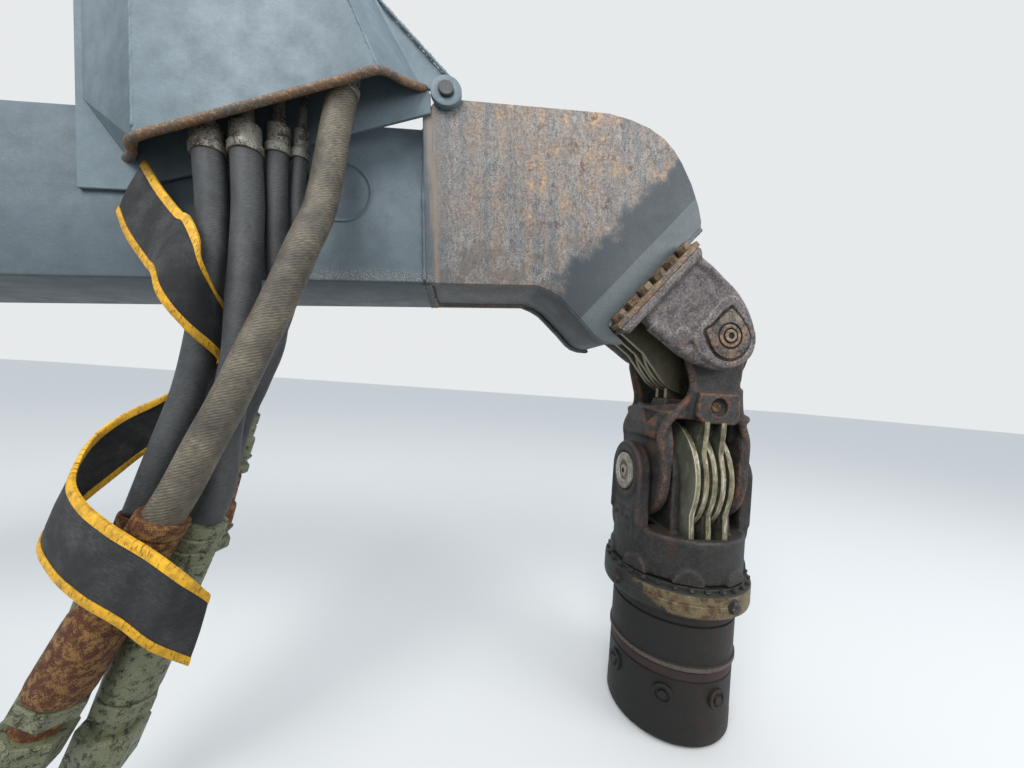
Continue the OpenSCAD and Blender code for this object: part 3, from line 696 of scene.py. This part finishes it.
lip_line = [(-905, -99, 249), (-872, -132, 240), (-845, -166, 238), (-790, -168, 258), (-700, -168, 292),
            (-600, -168, 329), (-549, -167, 349), (-520, -130, 366), (-494, -98, 383)]
finished(tube("box_lip", smooth_run(lip_line, 6), 0.0055, 14), "boom", lip_paint)
seams = joined("box_seams", [
    bead("seam_front", [(-843, -167, 250), (-843, -167, 618)], 2.6, close=0),
    bead("seam_side", [(-587, -167, 446), (-572, -98, 522)], 2.2, close=0),
    bead("seam_edge", [(-548, -167, 350), (-587, -168, 444), (-669, -168, 616)], 2.4, close=0),
    bead("seam_wall", [(-490, -98, 382), (-450, -98, 397), (-572, -98, 524), (-632, -98, 616)], 2.4, close=0)])
finished(seams, "boom", box_paint)
lug_pin = spun("lug_pin", [(0, 0), (10.4, 0), (10.4, 20), (11.4, 20.5), (11.4, 25), (10.4, 26), (0, 26)], 32)
finished(moved(lug_pin, BOOM @ at(-462, -86, 378) @ turn_by(90, "X")), "boom", belly_paint)

zinc = weathered_steel("pale_zinc", srgb(150, 148, 138), srgb(116, 112, 102), srgb(84, 68, 54), 0.25, 60, 0.4,
                       0.45)
RAIL_TOP = 0.347
for name, end_size in (("hose_1", 38), ("hose_2", 38), ("hose_3", 28), ("hose_4", 18), ("hose_5", 38)):
    r = end_size / 2
    exit_at = hose_runs[name][0]
    high = 44 if name == "hose_5" else max(44, (RAIL_TOP - (BOOM.inverted() @ exit_at).z) * 1000)
    sleeve = spun("socket_" + name[-1], [(r - 1, -9), (r + 2, -9), (r + 3, -7), (r + 3, 2), (r + 0.5, 4),
                                         (r + 0.5, 30), (r * 0.7, 33), (r * 0.6, 36), (r * 0.6, high), (0, high),
                                         (0, 1), (r - 1, 1)], 32)
    moved(sleeve, Matrix.Translation(exit_at) @ facing((exit_at - hose_runs[name][1]).normalized()))
    finished(sleeve, "boom", zinc, "hose_sockets" if name == "hose_1" else None)


# Hanger.
# The heavy steel casting under the boom's end plate, with two outer ears for the upper pin and
# inner ears for the brake discs. Its skin is rough from the sand, dark, with rust at the edges.
def arc(x, z, r, first, last, n):
    """Points on a circle, angles in degrees."""
    return [(x + r * math.cos(math.radians(first + (last - first) * k / n)),
             z + r * math.sin(math.radians(first + (last - first) * k / n))) for k in range(n + 1)]


def curved(points, steps=5):
    return [(v.x, v.y) for v in eased([(x, z, 0) for x, z in points], steps)]


def plate(name, outline, low, high, axis, round_off, segments=3):
    """A plate cut to an outline in millimetres, its thickness from low to high along an axis."""
    deselect()
    bpy.ops.mesh.primitive_circle_add(vertices=len(outline), radius=1, fill_type="NGON")
    obj = bpy.context.object
    obj.name = name
    low, high = sorted((low, high))
    a, b, c = {"X": (1, 2, 0), "Y": (0, 2, 1), "Z": (0, 1, 2)}[axis]
    for v, (p, q) in zip(obj.data.vertices, outline):
        v.co[a], v.co[b], v.co[c] = p * MM, q * MM, low * MM
    way = [0, 0, 0]
    way[c] = (high - low) * MM
    edit(obj)
    bpy.ops.mesh.extrude_region_move(TRANSFORM_OT_translate={"value": way})
    bpy.ops.mesh.select_all(action="SELECT")
    bpy.ops.mesh.normals_make_consistent(inside=False)
    done(obj, 0)
    if round_off:
        cut_bevel(obj, round_off, segments, 40)
    return obj


def drum(name, x, z, r, low, high, axis="Y", round_off=0, n=64):
    return plate(name, arc(x, z, r, 0, 360 - 360 / n, n - 1), low, high, axis, round_off)


def cut_by(obj, tool):
    applied(obj, "BOOLEAN", operation="DIFFERENCE", solver="MANIFOLD", object=tool)
    bpy.data.objects.remove(tool)


def cast(name, parts, cuts, voxel, smoothing):
    """Parts run together into one casting, cut, and worn smooth at its edges and hollows."""
    obj = joined(name, parts)
    applied(obj, "REMESH", mode="VOXEL", voxel_size=voxel * MM)
    for tool in cuts:
        cut_by(obj, tool)
    applied(obj, "REMESH", mode="VOXEL", voxel_size=voxel * MM)
    applied(obj, "SMOOTH", factor=0.5, iterations=smoothing)
    for face in obj.data.polygons:
        face.use_smooth = True
    return obj


def painted(obj, paint):
    obj.data.materials.clear()
    obj.data.materials.append(paint)
    for face in obj.data.polygons:
        face.material_index = 0
    return obj


def rod(name, points, radius):
    """A round bar along points in millimetres, used for rims and fillets of a casting."""
    return tube(name, [q * MM for q in eased(points, 5)], radius * MM, 14)


def sand_cast(name, dark, light, rust, share, bright, worn, grain, dusty=0.0):
    """Cast steel: coarse sand skin, rust in patches, bare metal where the edges stand out."""
    m, t = new_material(name)
    place = object_place(t)
    big, mid = noise(place, 11, 7, 0.65), noise(place, 55, 8, 0.72)
    fine, pits = noise(place, 260, 6, 0.75), noise(place, 700, 2, 0.5)
    shape = put(t, "NewGeometry").outputs
    edge = ramp(shape["Pointiness"], 0.5, 0.56)
    # Painted shade: hollows, found by their low pointiness, are darkened almost to black further down.
    hollow_shade = ramp(shape["Pointiness"], 0.44, 0.497, 1, 0)
    eaten = plus(times(big, 0.6), times(mid, 0.4), times(edge, 0.12))
    spots = ramp(eaten, 0.60 - share * 0.25, 0.66 - share * 0.25)
    rubbed = times(edge, ramp(fine, 0.42, 0.6, 0.1, worn), ramp(mid, 0.42, 0.56, 0.25))
    base = coated(mix(ramp(mid, 0.38, 0.6), dark, light),
                  (ramp(fine, 0.52, 0.66, 0, 0.75), shade(light, 2)),
                  (ramp(fine, 0.38, 0.47, 0.7, 0), shade(dark, 0.45)),
                  (ramp(pits, 0.34, 0.47, 0.85, 0), shade(dark, 0.35)),
                  (times(spots, 0.85), mix(ramp(fine, 0.38, 0.62), rust, shade(rust, 0.5))),
                  (rubbed, bright), (times(hollow_shade, 0.7), shade(dark, 0.3)))
    if dusty:
        up = put(t, "SeparateXYZ", {0: shape["Normal"]}).outputs[2]
        base = mix(times(ramp(up, 0.3, 0.9, 0, dusty), ramp(fine, 0.35, 0.6, 0.3)), base, srgb(128, 112, 96))
    finish_with(base, ramp(fine, 0.3, 0.7, 0.5, 0.72), plus(times(mid, 0.5), times(fine, 0.8), times(pits, 0.35)),
                0.0013 * grain, ramp(rubbed, 0, 1, 0.25, 0.6))
    return m


def at_slope(n, t):
    """A point on the boom from its distance to the end plate's plane and its place up the slope."""
    return (t - n) * HALF_ROOT, (t + n) * HALF_ROOT


hanger_paint = sand_cast("hanger_casting", srgb(76, 69, 69), srgb(118, 110, 109), srgb(112, 80, 64), 0.12,
                         srgb(196, 188, 178), 1.0, 1.2, 0.3)
ear_line = curved([(-52, 132), (-16, 110), (22, 78), (47, 36), (54, -4), (34, -44), (-9, -57), (-48, -46),
                   (-76, -31), (-106, -6), (-133, 14), (-146, 36)])
cap_line = [(5, 46), (16, 35), (26, 22), (34, 7), (36, -6), (31, -19), (21, -30), (7, -37), (-8, -37),
            (-22, -30), (-32, -18), (-38, -4), (-41, 9), (-28, 17), (-12, 33)]
raised_line = curved([(-66, -2), (-50, 20), (-24, 48), (-8, 65), (12, 68), (32, 50), (45, 20), (50, -5),
                      (42, -32), (20, -49), (-8, -54), (-36, -43), (-57, -25)], 3)
parts = [plate("base", [at_slope(132, -127), at_slope(132, 67), at_slope(143.2, 67), at_slope(143.2, -127)],
               -118.5, 118.5, "Y", 3)]
cuts = []
for s in (-1, 1):
    parts += [
        plate("ear", ear_line, s * 88, s * 110, "Y", 7, 4),
        plate("boss", raised_line, s * 100, s * 116.5, "Y", 2.5),
        drum("pad", -80, 2, 15, s * 100, s * 114, "Y", 2),
        rod("lower_edge", [(x, s * 100, z) for x, z in ((-130, 22), (-104, 2), (-76, -20), (-46, -36))], 13)]
    for out, first, last, size in ((112, -122, 62, 8), (89, -118, 40, 7)):
        parts.append(rod("fillet", [(at_slope(134, t)[0], s * out, at_slope(134, t)[1])
                                    for t in range(first, last + 1, (last - first) // 4)], size))
    parts += [
        rod("flare", [(at_slope(132, 52)[0], s * 108, at_slope(132, 52)[1]), (-30, s * 106, 112),
                      (0, s * 102, 88)], 9),
        plate("inner", arc(0, 0, 72, -45, 135, 20) + [at_slope(134, 72), at_slope(134, -72)],
              s * 42, s * 57, "Y", 3)]
    cuts.append(plate("seat", curved([(x * 1.14, z * 1.14) for x, z in cap_line], 2), s * 110.8, s * 130,
                      "Y", 0))
BORE_R = 25.2
cuts.append(drum("bore", 0, 0, BORE_R, -150, 150))
BOLT_SIDE, BOLT_PITCH = 106, 31.8
bolt_places = [(s * BOLT_SIDE, k, -110 + k * BOLT_PITCH) for s in (-1, 1) for k in range(6)]
for y, k, up_slope in bolt_places:
    x, z = at_slope(143.8, up_slope)
    cuts.append(moved(drum("hole", 0, 0, 8.6, 0, 14, "Z", 0, 24), at(x, y, z) @ facing((1, 0, -1))))
hanger = moved(cast("hanger_cast", parts, cuts, 2.1, 4), BOOM)
finished(painted(hanger, hanger_paint), "boom", None, "hanger")


# Bolts and pins.
# Forged hexagon bolts in two rows clamp the hanger to the boom. The turned pins are locked by
# cast caps that are let into the ears, each held by one screw in its middle.
bolt_paint = weathered_steel("rusty_bolt_steel", srgb(150, 128, 98), srgb(84, 72, 60), srgb(98, 72, 52), 0.35,
                             90, 0.3, 0.55)
heads = []
for y, k, up_slope in bolt_places:
    x, z = at_slope(152, up_slope)
    head = nut("bolt_head", 23.6, 11.6, 2)
    washer = spun("washer", [(8, 0), (13.8, 0), (13.8, 1.6), (8, 1.6)], 24)
    shank = spun("shank", [(0, -18), (7.8, -18), (7.8, 1), (0, 1)], 20)
    heads.append(moved(joined("bolt", [head, washer, shank]), BOOM @ at(x, y, z) @ facing((-1, 0, 1))
                       @ Matrix.Rotation(0.5 * k * k + 0.3, 4, "Z")))
finished(joined("flange_bolt_row", heads), "boom", bolt_paint, "flange_bolts")

cap_paint = sand_cast("pin_cap_steel", srgb(58, 52, 51), srgb(92, 82, 78), srgb(140, 94, 64), 0.06,
                      srgb(176, 158, 140), 0.9, 1.1)
pale_cap = sand_cast("pale_cap_steel", srgb(138, 136, 126), srgb(168, 166, 156), srgb(112, 92, 74), 0.15,
                     srgb(198, 196, 186), 0.9, 0.4)
# Painted shade: a near-black finish for the groove floors and screw recesses of the caps, where shade falls.
painted_gap_shade, t = new_material("painted_gap_shade")
gap_shade_grain = noise(object_place(t), 300, 4, 0.7)
finish_with(mix(ramp(gap_shade_grain, 0.4, 0.65), srgb(16, 15, 14), srgb(44, 38, 34)), 0.8, gap_shade_grain, 0.0005)


def pin_cap(name, plate_part, out, groove, turn):
    """A cap: its plate, a groove round a turned hub, and the head of its screw."""
    upper = groove > 18
    hub = [(0, 3.0), (19, 3.0), (19, 4.9), (18.2, 5.6)] if upper else [(0, 3.0)]
    hub = spun("hub", hub + [(13.4, 5.6) if upper else (11, 3.2), (13, 3.8) if upper else (11, 3.6), (11, 3.8),
                             (10.6, 6.6), (9.4, 7.4), (5.4, 7.4), (5, 5.6), (0, 5.6)], 48)
    # The groove disc is a dark sheet of painted shade at the bottom of the groove.
    dark = spun("groove", [(0, 2.6), (groove - 0.2, 2.6), (groove - 0.2, 3.1), (0, 3.1)], 48)
    if upper:
        cut_by(plate_part, drum("groove_cut", 0, 0, groove, -out - 12, -out - 2.6))
        plate_part.data.materials.clear()
    for part, slot in ((plate_part, 0), (hub, 0), (dark, 1)):
        part.data.materials.append(cap_paint if upper else pale_cap)
        part.data.materials.append(painted_gap_shade)
        for f in part.data.polygons:
            f.material_index = slot
    # Painted shade: the screw recess and the ring round the screw head take the dark gap finish.
    for f in hub.data.polygons:
        r = math.hypot(f.center.x, f.center.y)
        f.material_index = 1 if r < 0.0052 or 0.0108 < r < 0.0133 else 0
    face = moved(joined("face", [hub, dark]), at(0, -out, 0) @ turn_by(90, "X"))
    return shaded(moved(joined(name, [plate_part, face]), turn), 35)


smooth_cap = curved(cap_line + cap_line[:1], 3)[:-1]
caps = joined("upper_caps", [
    pin_cap("cap", plate("cap", line, -118, -113, "Y", 1.2, 2), 113.2, 22.5, turn)
    for line, turn in ((smooth_cap, BOOM), ([(-x, z) for x, z in smooth_cap], BOOM @ turn_by(180, "Z")))])
finished(caps, "boom", None, "upper_pin_caps")
low_caps = []
for a in (-90, 90):
    rim = spun("cap_rim", [(0, 0), (33, 0), (34, 1), (34, 5), (33, 6), (20.5, 6), (19, 4.5), (18.5, 2.6),
                           (0, 2.6)], 64)
    moved(rim, at(0, -111, 0) @ turn_by(90, "X"))
    low_caps.append(pin_cap("cap", rim, 109.6, 17.5, LOWER @ turn_by(a, "Z")))
finished(joined("lower_caps", low_caps), "rotator_housing", None, "lower_pin_caps")
pin_profile = [(0, -115), (22, -115), (25, -113), (25, 113), (22, 115), (0, 115)]
for name, turn, body in (("upper_pin", BOOM @ turn_by(90, "X"), "boom"),
                         ("lower_pin", LOWER @ turn_by(90, "Y"), "rotator_housing")):
    finished(moved(spun(name + "_turned", pin_profile, 56), turn), body, bolt_paint, name)


# Brake discs.
# Steel plates of spring steel with linings between them, pressed together round each pin. Their
# faces are a dull green-grey and the cut rims are worn bright; tabs key them to their neighbours.
def disc_steel(name, dark, light, rim):
    m, t = new_material(name)
    place = object_place(t)
    scratches = noise(stretched(place, (1, 0.3, 0.12)), 240, 6, 0.75)
    patch, fine = noise(place, 32, 8, 0.7), noise(place, 420, 4, 0.7)
    # Painted light: the outermost disc is mixed paler towards the rim colour, as the one in the light.
    lit_outer_disc = step_up(put(t, "SeparateXYZ", {0: place}).outputs[0], 1.8665, 1.8655)
    base = coated(mix(ramp(patch, 0.36, 0.62), dark, light), (ramp(scratches, 0.52, 0.64, 0, 0.85), rim),
                  (ramp(patch, 0.57, 0.66, 0, 0.75), srgb(96, 82, 60)), (times(lit_outer_disc, 0.45), rim))
    finish_with(base, ramp(fine, 0.3, 0.7, 0.34, 0.52), plus(fine, scratches), 0.0004,
                ramp(patch, 0.4, 0.6, 0.55, 0.3))
    return m


# Painted shade: the face colours are kept dark for the faces that lie in shade between the discs.
face_steel = disc_steel("brake_disc_face", srgb(62, 66, 56), srgb(94, 97, 82), srgb(140, 140, 124))
rim_steel = disc_steel("brake_disc_rim", srgb(84, 77, 58), srgb(144, 135, 108), srgb(204, 198, 176))
# Painted shade: darker copies of the disc finishes for the upper pack, which lies in shade under the hanger.
upper_face = disc_steel("shaded_disc_face", srgb(46, 46, 38), srgb(68, 65, 52), srgb(92, 86, 68))
upper_rim = disc_steel("shaded_disc_rim", srgb(86, 80, 60), srgb(122, 114, 88), srgb(160, 150, 122))
lining_paint, t = new_material("brake_lining")
fibre = noise(object_place(t), 300, 5, 0.7)
finish_with(mix(ramp(fibre, 0.4, 0.6), srgb(54, 50, 46), srgb(92, 80, 66)), 0.85, fibre, 0.0006)


DISC_R = 106
DISC_STEP = 15.6


def brake_disc(name, half, low, reach, up, down, turn):
    """A disc square to Z with a wide tab towards +X, a waist before it and linings on its sides."""
    a = 20 if min(half, low) > 90 else 0
    ring = arc(0, 0, DISC_R, 90 - a if half > 90 else math.degrees(math.asin(half / DISC_R)),
               270 + a if low > 90 else 360 - math.degrees(math.asin(low / DISC_R)), 60)
    waist = 4 if half > 90 else 0
    line = ring + [(reach * 0.48, -low + waist), (reach * 0.75, -low + waist * 0.3), (reach * 0.88, -low),
                   (reach, -low), (reach, half), (reach * 0.88, half), (reach * 0.75, half - waist * 0.3),
                   (reach * 0.48, half - waist)]
    disc = plate(name, line, -5, 5, "Z", 1.2, 2)
    for f in disc.data.polygons:
        f.material_index = 0 if abs(f.normal.z) > 0.9 else 1
    pads = []
    for wanted, z in ((up, 5), (down, -9.8)):
        if wanted:
            pads.append(drum("lining", 0, 0, 97.5, z, z + 4.8, "Z", 0.8, 72))
            for f in pads[-1].data.polygons:
                f.material_index = 2
    for part in [disc] + pads:
        for steel in (face_steel, rim_steel, lining_paint):
            part.data.materials.append(steel)
    return moved(joined(name, [disc] + pads), turn)


upper_turn = BOOM @ turn_by(90, "X") @ turn_by(135, "Z")
hang_turn = LINK @ turn_by(90, "X") @ turn_by(-90, "Z")
down_turn = LOWER @ turn_by(90, "Y")
up_turn = down_turn @ turn_by(180, "Z")
packs = (("upper_fixed_discs", (-2, 0, 2), 98, 62, 132, upper_turn, "boom"),
         ("upper_link_discs", (-1, 1), 50, 50, 111, hang_turn, "link"),
         ("lower_link_discs", (-1, 1), 98, 98, 111, up_turn, "link"),
         ("lower_fixed_discs", (-2, 0, 2), 98, 98, 111, down_turn, "rotator_housing"))
for name, places, half, low, reach, turn, body in packs:
    lined = name.endswith("fixed_discs")
    row = joined(name + "_row", [
        brake_disc("disc", half, low, reach, lined and k < 2, lined and k > -2, turn @ at(0, 0, k * DISC_STEP))
        for k in places])
    if name.startswith("upper"):
        for slot, steel in enumerate((upper_face, upper_rim)):
            row.material_slots[slot].material = steel
    finished(shaded(row, 25), body, None, name)


# Link.
# A steel casting between the two pins: plates across the boom at the top, a bridge with a boss,
# and ears the other way at the bottom. A thick rounded rim runs down its edges, rusty and worn.
link_paint = sand_cast("link_casting_skin", srgb(44, 42, 42), srgb(68, 65, 64), srgb(100, 66, 50), 0.14,
                       srgb(172, 118, 84), 1.0, 1.2, 0.2)
parts = []
cuts = []
right_line = [(80, -146)] + curved([(78, -146), (62, -136), (55, -112), (54, -86), (58, -44), (53, -2)], 4)
near_line = arc(0, 0, 53, 0, 180, 24) + curved([(-53, 0), (-48, -36), (-36, -65), (-34, -87), (-40, -109),
                                                (-60, -132), (-80, -146)], 4) + right_line
far_line = arc(0, 0, 53, 0, 170, 24) + curved([(-54, -4), (-70, -30), (-76, -52), (-68, -86), (-60, -112),
                                               (-64, -134), (-78, -146)], 4) + right_line
LOW_RIM = [(-75 * math.cos(math.radians(a)), -256 - 75 * math.sin(math.radians(a)))
           for a in (0, 22, 45, 68, 90, 112, 135, 158, 180)]
for s in (-1, 1):
    parts += [
        plate("side", near_line if s < 0 else far_line, s * 63, s * 83.5, "Y", 3),
        plate("ear", arc(0, -256, 80, -180, 0, 28) + [(82, -215), (83, -190), (70, -150), (46, -140),
                                                       (-46, -140), (-70, -150), (-83, -190), (-82, -215)],
              s * 63.5, s * 84, "X", 5, 4),
        plate("shoulder", [(s * x, z) for x, z in ((54, -122), (70, -128), (84, -140), (94, -156),
                                                   (97, -172), (94, -187), (58, -188))][::s],
              -60, 60, "Y", 9, 5),
        rod("rim", [(s * 76, y, z) for y, z in LOW_RIM], 7)]
right_rim = [(54, -86), (56, -112), (60, -136), (68, -158), (75, -180), (77, -206), (76, -232), (76, -256)]
near_rim = [(-48, -34), (-37, -64), (-33, -86), (-39, -109), (-59, -132), (-78, -154), (-86, -172), (-86, -190),
            (-80, -212), (-77, -234), (-76, -256)]
far_rim = [(-70, -24), (-76, -45), (-72, -64), (-66, -86), (-60, -110), (-62, -133), (-71, -150), (-80, -176),
           (-77, -206), (-76, -256)]
for run, y in ((right_rim, -77), (near_rim, -77), (right_rim, 77), (far_rim, 77)):
    parts.append(rod("rim", [(x, y if z > -200 else math.copysign(75.5, y), z) for x, z in run], 7.8))
parts += [
    plate("bridge", [(-56, -126), (56, -126), (80, -134), (82, -144.8), (-82, -144.8), (-80, -134)],
          -80, 80, "Y", 3),
    plate("seat", [(-54, -111), (54, -111), (60, -140), (-60, -140)], -25, 25, "Y", 3),
    plate("boss", [(-32, -97), (44, -96), (46, -138), (38, -151), (-22, -150), (-38, -138)], -98.5, -80, "Y",
          2.5, 3),
    plate("boss", [(-36, -96), (36, -96), (36, -144.6), (-36, -144.6)], 80, 92, "Y", 3, 3),
    plate("apron", [(-34, -96), (48, -96), (50, -112), (-36, -112)], -90, -78, "Y", 4, 3)]
for s in (-1, 1):
    parts.append(rod("web", [(s * 40, -76, -122), (s * 58, -60, -128), (s * 72, -20, -134), (s * 72, 20, -134),
                             (s * 58, 60, -128)], 8))
cuts += [
    drum("bore", 0, 0, BORE_R, -150, 150),
    drum("bore", 0, -256, BORE_R, -150, 150, "X"),
    drum("recess", 5, -121, 15.5, -110, -87.5),
    plate("pocket", [(10, -134), (-54, -137), (-34, -160)], -110, -77, "X", 0)]
link = moved(cast("link_cast", parts, cuts, 2.4, 5), LINK)
finished(painted(link, link_paint), "link", None, "link_casting")
plug = spun("boss_plug", [(0, 0), (9, 0), (9, 3), (7, 4.5), (3, 4.5), (3, 3), (0, 3)], 32)
finished(moved(plug, LINK @ at(5, -86, -121) @ turn_by(90, "X")), "link", bolt_paint)


# Rotator yoke.
# A round steel casting that carries the lower pin, with outer ears outside the link and inner
# ears beside the brake discs. It is dark from oil, with small raised bosses on the outer ears.
yoke_paint = sand_cast("yoke_casting", srgb(32, 32, 31), srgb(52, 50, 48), srgb(68, 48, 42), 0.2,
                       srgb(108, 102, 96), 0.9, 1.0, 0.1)
parts = []
cuts = []
for s in (-1, 1):
    outer = arc(0, 0, 57, 0, 180, 30) + curved([(-57, -2), (-58, -50), (-60, -96), (-48, -120), (-20, -127),
                                                (20, -127), (48, -120), (60, -96), (58, -50), (57, -2)], 4)
    parts += [
        plate("ear", outer, s * 88, s * 109, "X", 6, 4),
        drum("ring", 0, 0, 48, s * 100, s * 114.5, "X", 2),
        rod("arch", [(s * 109, y, z) for y, z in [(-54, -84)] + arc(0, 0, 54, 180, 0, 12) + [(54, -84)]], 4.5)]
    for y in (-22, 22):
        parts.append(rod("half_mark", [(s * 109, y + v, z) for v, z in arc(0, -92, 15, 180, 0, 8)
                                       + [(15, -112), (-15, -112), (-15, -92)]], 3.6))
    parts.append(rod("bar", [(s * 109, -36, -64), (s * 109, 36, -64)], 4))
    inner = arc(0, 0, 73, 0, 180, 30) + [(-74, -60), (-80, -98), (80, -98), (74, -60)]
    parts.append(plate("inner", inner, s * 42, s * 57, "X", 3))
    cuts.append(drum("groove", 0, 0, 38.5, s * 110.8, s * 125, "X"))
for a in range(-110, 250, 45):
    moon = plate("moon", arc(0, -165, 26, 0, 180, 16), 106, 120.5, "X", 1.5)
    parts.append(moved(moon, turn_by(a, "Z")))
parts.append(plate("base", arc(0, 0, 116.5, 0, 355, 71), -164.6, -91, "Z", 5, 4))
cuts += [
    drum("bore", 0, 0, BORE_R, -150, 150, "X"),
    plate("pocket", [(-40.2, -98.4), (40.2, -98.4), (40.2, 98.4), (-40.2, 98.4)], -111, -60, "Z", 0)]
for s in (-1, 1):
    cuts.append(plate("slot", arc(0, -88, 34, 180, 360, 20) + [(34, -60), (-34, -60)],
                      s * 60, s * 86, "X", 0))
yoke = moved(cast("yoke_cast", parts, cuts, 2.3, 4), LOWER)
finished(painted(yoke, yoke_paint), "rotator_housing", None, "rotator_yoke")


# Rotator ring and body.
# The bearing housing: a turned ring bolted to the yoke with small screws on its ledge, and the
# motor body under it. The paint on the ring is rubbed to beige and brown where hoses swing by.
def pin_place(tree):
    """Places from the lower pin, and their shares along X and Z."""
    place = put(tree, "Mapping", {"Vector": object_place(tree), "Location": -LOWER_PIN}).outputs[0]
    x, _, z = put(tree, "SeparateXYZ", {0: place}).outputs[:]
    return place, x, z


ring_paint, t = new_material("worn_ring_paint")
low_place, x, z = pin_place(t)
big, mid, fine = noise(low_place, 9, 7, 0.7), noise(low_place, 46, 8, 0.72), noise(low_place, 300, 5, 0.72)
slant = plus(x, times(mid, 0.09), times(z, 1.1))
beige = times(step_up(slant, -0.262, -0.256), step_up(z, -0.174, -0.1755), ramp(fine, 0.3, 0.55, 0.55))
rust = ramp(plus(times(big, 0.4), times(mid, 0.6)), 0.53, 0.56, 0, 0.9)
base = coated(mix(ramp(mid, 0.36, 0.64), srgb(31, 33, 30), srgb(46, 46, 41)),
              (beige, mix(ramp(mid, 0.4, 0.62), srgb(126, 112, 82), srgb(84, 71, 50))),
              (times(beige, rust), srgb(78, 50, 34)))
finish_with(base, ramp(fine, 0.3, 0.7, 0.45, 0.68), plus(mid, times(fine, 0.6)), 0.0009, 0.2)

body_paint, t = new_material("oily_body_paint")
low_place, x, z = pin_place(t)
mid, fine = noise(low_place, 40, 8, 0.7), noise(low_place, 320, 5, 0.72)
lathe_marks = noise(stretched(low_place, (0.15, 0.15, 1)), 500, 3, 0.6)
groove = times(step_up(z, -0.312, -0.313), step_up(z, -0.331, -0.329), ramp(mid, 0.4, 0.56, 0.5), 0.7)
# Painted highlight: a paler speckled band along the body's lower lip.
lip_highlight = times(step_up(z, -0.3035, -0.3045), step_up(z, -0.3125, -0.3115), ramp(fine, 0.35, 0.55, 0.2, 0.9))
base = coated(mix(ramp(mid, 0.36, 0.64), srgb(14, 14, 12), srgb(26, 23, 20)),
              (times(step_up(x, -0.08, 0.02), ramp(mid, 0.42, 0.56, 0, 0.8)), srgb(42, 31, 22)),
              (groove, srgb(58, 38, 37)), (lip_highlight, srgb(98, 86, 78)),
              (ramp(fine, 0.6, 0.7, 0, 0.6), srgb(52, 45, 38)))
finish_with(base, ramp(mid, 0.3, 0.7, 0.5, 0.7), plus(lathe_marks, times(fine, 0.6)), 0.0005, 0.2)

ring = spun("ring_turned", [(0, -165.4), (121, -165.4), (122, -166.4), (122, -170), (127, -172), (129.5, -174),
                            (129.8, -178), (129.8, -188), (129, -189), (129, -191), (129.8, -192),
                            (129.8, -206), (128.5, -210), (125, -213), (120, -216.6), (0, -216.6)], 120)
finished(moved(ring, LOWER), "rotator_housing", ring_paint, "rotator_ring")
screw_steel = weathered_steel("screw_steel", srgb(120, 116, 108), srgb(60, 56, 52), srgb(48, 42, 38), 0.55, 90,
                              0.8, 0.3)
screws = [moved(nut("screw", 9.5, 6, 1.5), LOWER @ turn_by(12 * k, "Z") @ at(123.2, 0, -171.2)
                @ Matrix.Rotation(k * 1.7, 4, "Z")) for k in range(30)]
finished(joined("ring_screws", screws), "rotator_housing", screw_steel)
housing = spun("body_turned", [(60, -217.4), (112, -217.4), (112, -219), (109.5, -221), (109.5, -233),
                               (106.5, -234), (106.5, -237), (109, -238), (108.8, -302), (111.5, -304),
                               (111.8, -306), (111.8, -310), (110.5, -311.8), (62.2, -311.8), (62.2, -262),
                               (60, -262)], 112)
finished(moved(housing, LOWER), "rotator_housing", body_paint, "rotator_body")
plugs = []
for a in (-168, -75, 12, 105):
    plug = nut("plug", 19, 6.5, 1.5)
    collar = spun("plug_collar", [(0, -2), (13, -2), (13, 1.2), (12, 2), (0, 2)], 36)
    plugs.append(moved(joined("plug", [plug, collar]), LOWER @ turn_by(a, "Z") @ at(129, 0, -191)
                       @ turn_by(90, "Y")))
finished(joined("ring_plugs", plugs), "rotator_housing", screw_steel, "port_plugs")


# Rotator foot.
# The turning part under the body: a short steel drum with a shaft inside the body and a ring of
# tapped holes in its flat lower face. A row of round plugs in its side closes oil passages.
foot = spun("foot_turned", [(0, -262.5), (61.8, -262.5), (61.8, -313.2), (106, -313.2), (108, -315),
                            (108.6, -318), (108.6, -327), (106.6, -328), (106.6, -331), (108.6, -332),
                            (108.6, -405), (109, -410), (109, -434), (107, -438), (0, -438)], 112)
for k in range(12):
    cut_by(foot, moved(drum("hole", 94, 0, 9, -440, -400, "Z", 0, 32), turn_by(30 * k, "Z")))
foot = painted(shaded(moved(foot, LOWER), 30), body_paint)
finished(foot, "rotator_head", None, "rotator_foot")
foot_marks = []
for a in (-124, -176, -75, 4, 56, 105):
    mark = spun("foot_plug", [(0, -4), (17, -4), (17, 3), (16, 4.5), (12, 4.5), (11, 2.5), (8, 2.5), (7, 6),
                              (0, 6)], 40)
    foot_marks.append(moved(mark, LOWER @ turn_by(a, "Z") @ at(108.5, 0, -358) @ turn_by(90, "Y")))
finished(joined("foot_plug_pair", foot_marks), "rotator_head", body_paint, "foot_plugs")
